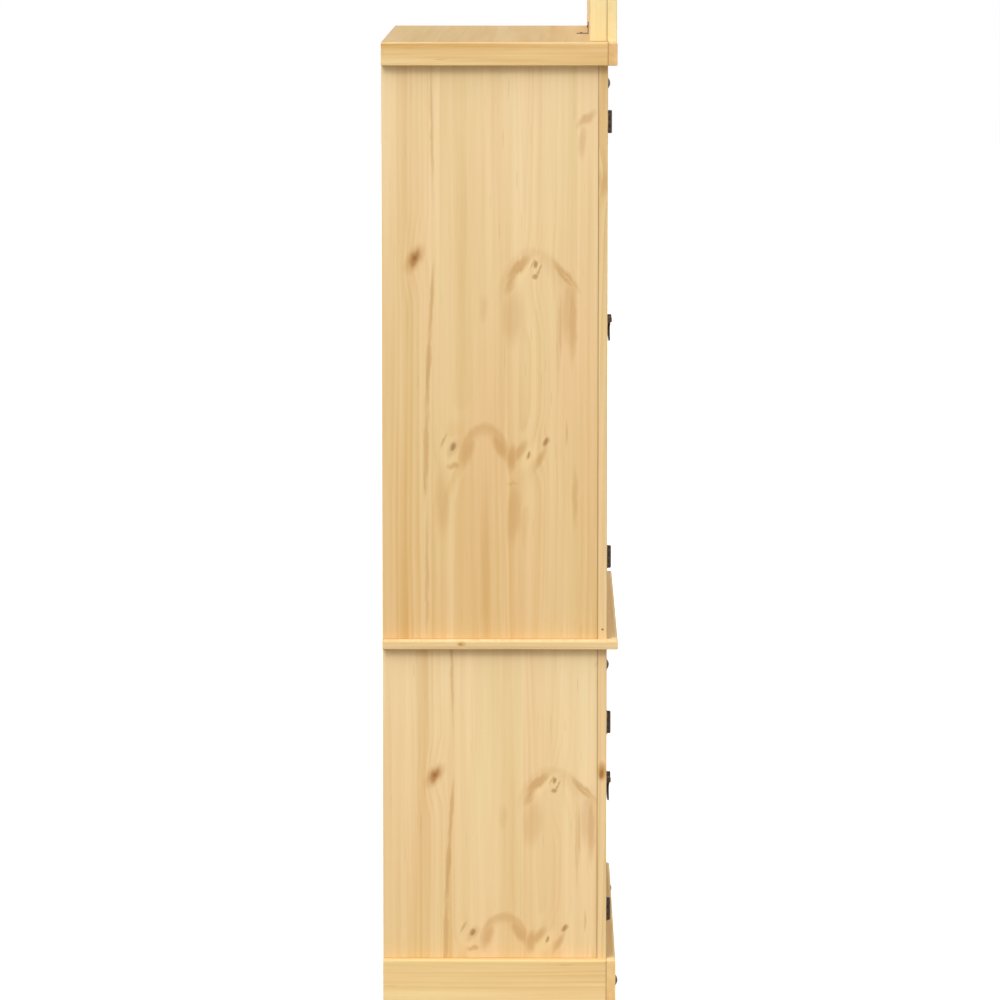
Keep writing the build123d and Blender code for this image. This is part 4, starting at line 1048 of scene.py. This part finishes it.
for number, door in enumerate(DOORS):
    seed = FIRST_DOOR_SEED + SEEDS_A_DOOR * number
    low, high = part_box(f"{door}_door_stiles")
    stile_pitch = high[0] - low[0] - DOOR_STILE_W
    edges = [("X", low[0] + DOOR_STILE_W), ("X", high[0] - DOOR_STILE_W)]
    first = low[0] + (DOOR_STILE_W - stile_pitch) / 2
    shared = {"pitch": stile_pitch, "start": first, "joints": edges}
    pine(f"{door}_door_stiles", "XZY", DOOR_BOARDS["stiles"], seed, **shared)
    rail_low, rail_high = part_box(f"{door}_door_rails")
    rail_pitch = (rail_high[2] - rail_low[2]) / DOOR_RAILS[door.split("_")[0]]
    shared = {"pitch": rail_pitch, "joints": edges}
    pine(f"{door}_door_rails", "ZXY", DOOR_BOARDS["rails"], seed + 1, **shared)
    pine(f"{door}_door_panels", "XZY", DOOR_BOARDS["panels"], seed + 2)

    form = bmesh.new()
    for place in leaf_screw_places(door, -1):
        drive(form, place, TO_FRONT)
    pivot = joint_at[f"{door}_pull"]
    for side in (-1, 1):
        height = pivot.z - PLATE_DROP + side * PLATE_SCREW
        drive(form, (pivot.x, frame_face - PLATE_T + PLATE_SINK, height), TO_FRONT)
    strike_x = math.copysign(sum(STRIKE_X) / 2, pivot.x)
    strike_z = low[2] + sum(STRIKE_UP) / 2
    drive(form, (strike_x, high[1] - STRIKE_SCREW_SINK, strike_z), TO_BACK)
    finished(form, f"{door}_door_screws", f"{door}_door", [f"{door}_door_fixings"])

    form = bmesh.new()
    size = (STRIKE_X[1] - STRIKE_X[0], STRIKE_T, STRIKE_UP[1] - STRIKE_UP[0])
    block(form, (strike_x, high[1] - STRIKE_T / 2, strike_z), size)
    spans = {edge: edge.verts[0].co - edge.verts[1].co for edge in form.edges}
    round_off(form, [edge for edge, span in spans.items() if abs(span.y) > STRIKE_T / 2], STRIKE_CORNER)
    finished(form, f"{door}_strike", f"{door}_door", [f"{door}_door_fixings"], ease=STRIKE_EASE)

# ---------------------------------------------------------------- drop pulls
# Cast iron back plates, lacquered like the hinges, with a sunk line round a raised field, two square
# lugs and a cross pin. The drop is a cast tear with a collar under its eye, and hangs a little back
# towards the door.
PLATE_HALF_W = 0.012
PLATE_HALF_H = 0.029
PLATE_LOBE = 0.05
PLATE_RIM = 0.0014
# How far in and how far up: the rim, the sunk line, the slope and the edge of the field.
PLATE_STEPS = ((0.0014, 0.0), (0.0006, -0.0005), (0.0010, 0.0011), (0.0002, 0.0))
PLATE_CROWN = 0.0004
PLATE_CROWN_SIZE = (0.45, 0.8, 1.0)  # its share of the raised field
PLATE_EASE = 0.00025
LUG_IN = 0.0033
LUG_OUT = 0.0063
LUG_R = 0.005
LUG_CORNER = 0.0018
PIN_R = 0.0015
PIN_HALF = 0.0069
EYE_R = 0.0039
EYE_W = 0.006
EYE_EASE = 0.0008
DROP_SIDES = 12
DROP_LEVELS = 2
# How far under the pin, half width, half thickness, and how far back from the pin.
DROP_STATIONS = (
    (0.0030, 0.0024, 0.0018, 0.0),
    (0.0066, 0.0023, 0.0018, 0.0),
    (0.0072, 0.0035, 0.0028, 0.0),
    (0.0088, 0.0035, 0.0028, 0.0001),
    (0.0095, 0.0023, 0.0020, 0.0002),
    (0.0150, 0.0030, 0.0021, 0.0006),
    (0.0225, 0.0056, 0.0024, 0.0009),
    (0.0295, 0.0075, 0.0025, 0.0008),
    (0.0350, 0.0065, 0.0022, 0.0004),
    (0.0390, 0.0036, 0.0019, 0.0002),
    (0.0413, 0.0010, 0.0010, 0.0002),
)


def cross_bar(form, pivot, radius, length, sides):
    """Add a round bar to a form, along the pull's pin."""
    place = Matrix.Translation(pivot) @ Matrix.Rotation(math.radians(90), 4, "Y")
    round_bar = {"cap_ends": True, "segments": sides, "radius1": radius, "radius2": radius}
    bmesh.ops.create_cone(form, depth=length, matrix=place, **round_bar)


def pull_plate(pivot):
    """The back plate with its lugs and pin, in place."""
    form = bmesh.new()
    bmesh.ops.create_circle(form, cap_ends=True, segments=48, radius=1.0)
    for vert in form.verts:
        vert.co *= 1 + PLATE_LOBE * math.cos(4 * math.atan2(vert.co.y, vert.co.x))
    bmesh.ops.scale(form, vec=(PLATE_HALF_W, PLATE_HALF_H, 1.0), verts=form.verts)
    grown = bmesh.ops.extrude_face_region(form, geom=form.faces[:])["geom"]
    raised = [item for item in grown if isinstance(item, bmesh.types.BMVert)]
    top = [item for item in grown if isinstance(item, bmesh.types.BMFace)]
    bmesh.ops.translate(form, vec=(0, 0, PLATE_RIM), verts=raised)
    for inwards, up in PLATE_STEPS:
        bmesh.ops.inset_region(form, faces=top, thickness=inwards, depth=up)
    crown = list({vert for face in top for vert in face.verts})
    bmesh.ops.scale(form, vec=PLATE_CROWN_SIZE, verts=crown)
    bmesh.ops.translate(form, vec=(0, 0, PLATE_CROWN), verts=crown)
    middle = (pivot.x, frame_face, pivot.z - PLATE_DROP)
    bmesh.ops.transform(form, matrix=Matrix.Translation(middle) @ TO_FRONT, verts=form.verts)
    front = pivot.y - LUG_R
    back = frame_face - PLATE_T / 2
    size = (LUG_OUT - LUG_IN, back - front, 2 * LUG_R)
    for side in (-1, 1):
        made = block(form, (pivot.x + side * (LUG_IN + LUG_OUT) / 2, (front + back) / 2, pivot.z), size)
        outer = [vert for vert in made if vert.co.y < pivot.y]
        faced = [edge for edge in form.edges if all(vert in outer for vert in edge.verts)]
        corners = []
        for edge in faced:
            first, last = edge.verts
            if abs(first.co.x - last.co.x) > size[0] / 2:
                corners.append(edge)
        round_off(form, corners, LUG_CORNER)
    cross_bar(form, pivot, PIN_R, 2 * PIN_HALF, sides=24)
    return form


def tear_drop(pivot):
    """The drop without its eye: one ring of points, drawn down from station to station."""
    form = bmesh.new()
    ring = bmesh.ops.create_circle(form, segments=DROP_SIDES, radius=1.0)["verts"]
    before = Matrix.Identity(4)
    for down, half_width, half_thick, back in DROP_STATIONS:
        centre = Matrix.Translation((pivot.x, pivot.y + back, pivot.z - down))
        now = centre @ Matrix.Diagonal((half_width, half_thick, 1.0, 1.0))
        bmesh.ops.transform(form, matrix=now @ before.inverted(), verts=ring)
        before = now
        if down < DROP_STATIONS[-1][0]:
            rim = [edge for edge in form.edges if all(vert in ring for vert in edge.verts)]
            grown = bmesh.ops.extrude_edge_only(form, edges=rim)["geom"]
            ring = [item for item in grown if isinstance(item, bmesh.types.BMVert)]
    bmesh.ops.holes_fill(form, edges=[edge for edge in form.edges if edge.is_boundary], sides=0)
    return form


for door in DOORS:
    pivot = joint_at[f"{door}_pull"]
    mount, hanging = f"{door}_pull_mount", f"{door}_pull_drop"
    finished(pull_plate(pivot), f"{door}_pull_plate", f"{door}_door", [mount], ease=PLATE_EASE)
    drop = finished(tear_drop(pivot), f"{door}_tear_drop", f"{door}_pull", [hanging])
    rounded = drop.modifiers.new("rounded", "SUBSURF")
    rounded.levels = DROP_LEVELS
    rounded.render_levels = DROP_LEVELS
    form = bmesh.new()
    cross_bar(form, pivot, EYE_R, EYE_W, sides=32)
    finished(form, f"{door}_drop_eye", f"{door}_pull", [hanging], ease=EYE_EASE)

# ---------------------------------------------------------------- catches
# Brown polypropylene blocks moulded with a fine matt grain and fixed on the floors. Each holds the
# two poles of a magnet, zinc plated steel strips in its face, which the doors' strikes meet.
PLASTIC = "5a3d29"
PLASTIC_GRAIN = 900.0
PLASTIC_ROUGHNESS = (0.42, 0.55)
PLASTIC_BUMP = {"Strength": 0.1, "Distance": 0.0001}
CATCH_EASE = 0.0008
POLE_SIZE = (0.030, 0.0004, 0.0014)
POLE_UP = (0.0038, 0.0082)
POLE_PROUD = 0.0001
POLE_EASE = 0.0001
plastic, tree = blank_material("moulded_polypropylene")
place = add(tree, "TexCoord")
grain = add(tree, "TexNoise", {"Vector": place.outputs["Object"], "Scale": PLASTIC_GRAIN, "Detail": 2.0})
rough = add(tree, "MapRange", [grain, 0.3, 0.7, *PLASTIC_ROUGHNESS])
bump = add(tree, "Bump", {**PLASTIC_BUMP, "Height": grain})
shader = add(tree, "BsdfPrincipled", {"Base Color": linear(PLASTIC), "Roughness": rough, "Normal": bump})
add(tree, "OutputMaterial", [shader])
form = merged_copy("catches")
moulded = {"slot": "catch_plastic", "material": plastic}
finished(form, "catch_blocks", "cabinet", ["catches"], ease=CATCH_EASE, **moulded)

# Zinc plating is a bright bluish white, and the rolled strip under it leaves fine lines along the poles.
ZINC = ("b4b6b8", "cdcecb")
ZINC_LINES = (60.0, 2000.0, 2000.0)
ZINC_ROUGHNESS = (0.28, 0.42)
zinc, tree = blank_material("zinc_plated_steel")
place = add(tree, "TexCoord")
rolled = add(tree, "VectorMath", [place.outputs["Object"], ZINC_LINES], operation="MULTIPLY")
rolled = add(tree, "TexNoise", {"Vector": rolled, "Scale": 1.0, "Detail": 2.0})
dark, light = (linear(shade) for shade in ZINC)
colour = add(tree, "Mix", {0: rolled, 6: dark, 7: light}, data_type="RGBA").outputs[2]
rough = add(tree, "MapRange", [rolled, 0.3, 0.7, *ZINC_ROUGHNESS])
shader = add(tree, "BsdfPrincipled", {"Base Color": colour, "Metallic": 1.0, "Roughness": rough})
add(tree, "OutputMaterial", [shader])
form = bmesh.new()
pole_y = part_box("catches")[0][1] + POLE_SIZE[1] / 2 - POLE_PROUD
for level in ("lower", "upper"):
    floor_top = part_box(f"{level}_floor")[1][2]
    for side in (-1, 1):
        for up in POLE_UP:
            block(form, (side * sum(STRIKE_X) / 2, pole_y, floor_top + up), POLE_SIZE)
finished(form, "catch_poles", "cabinet", ease=POLE_EASE, material=zinc)
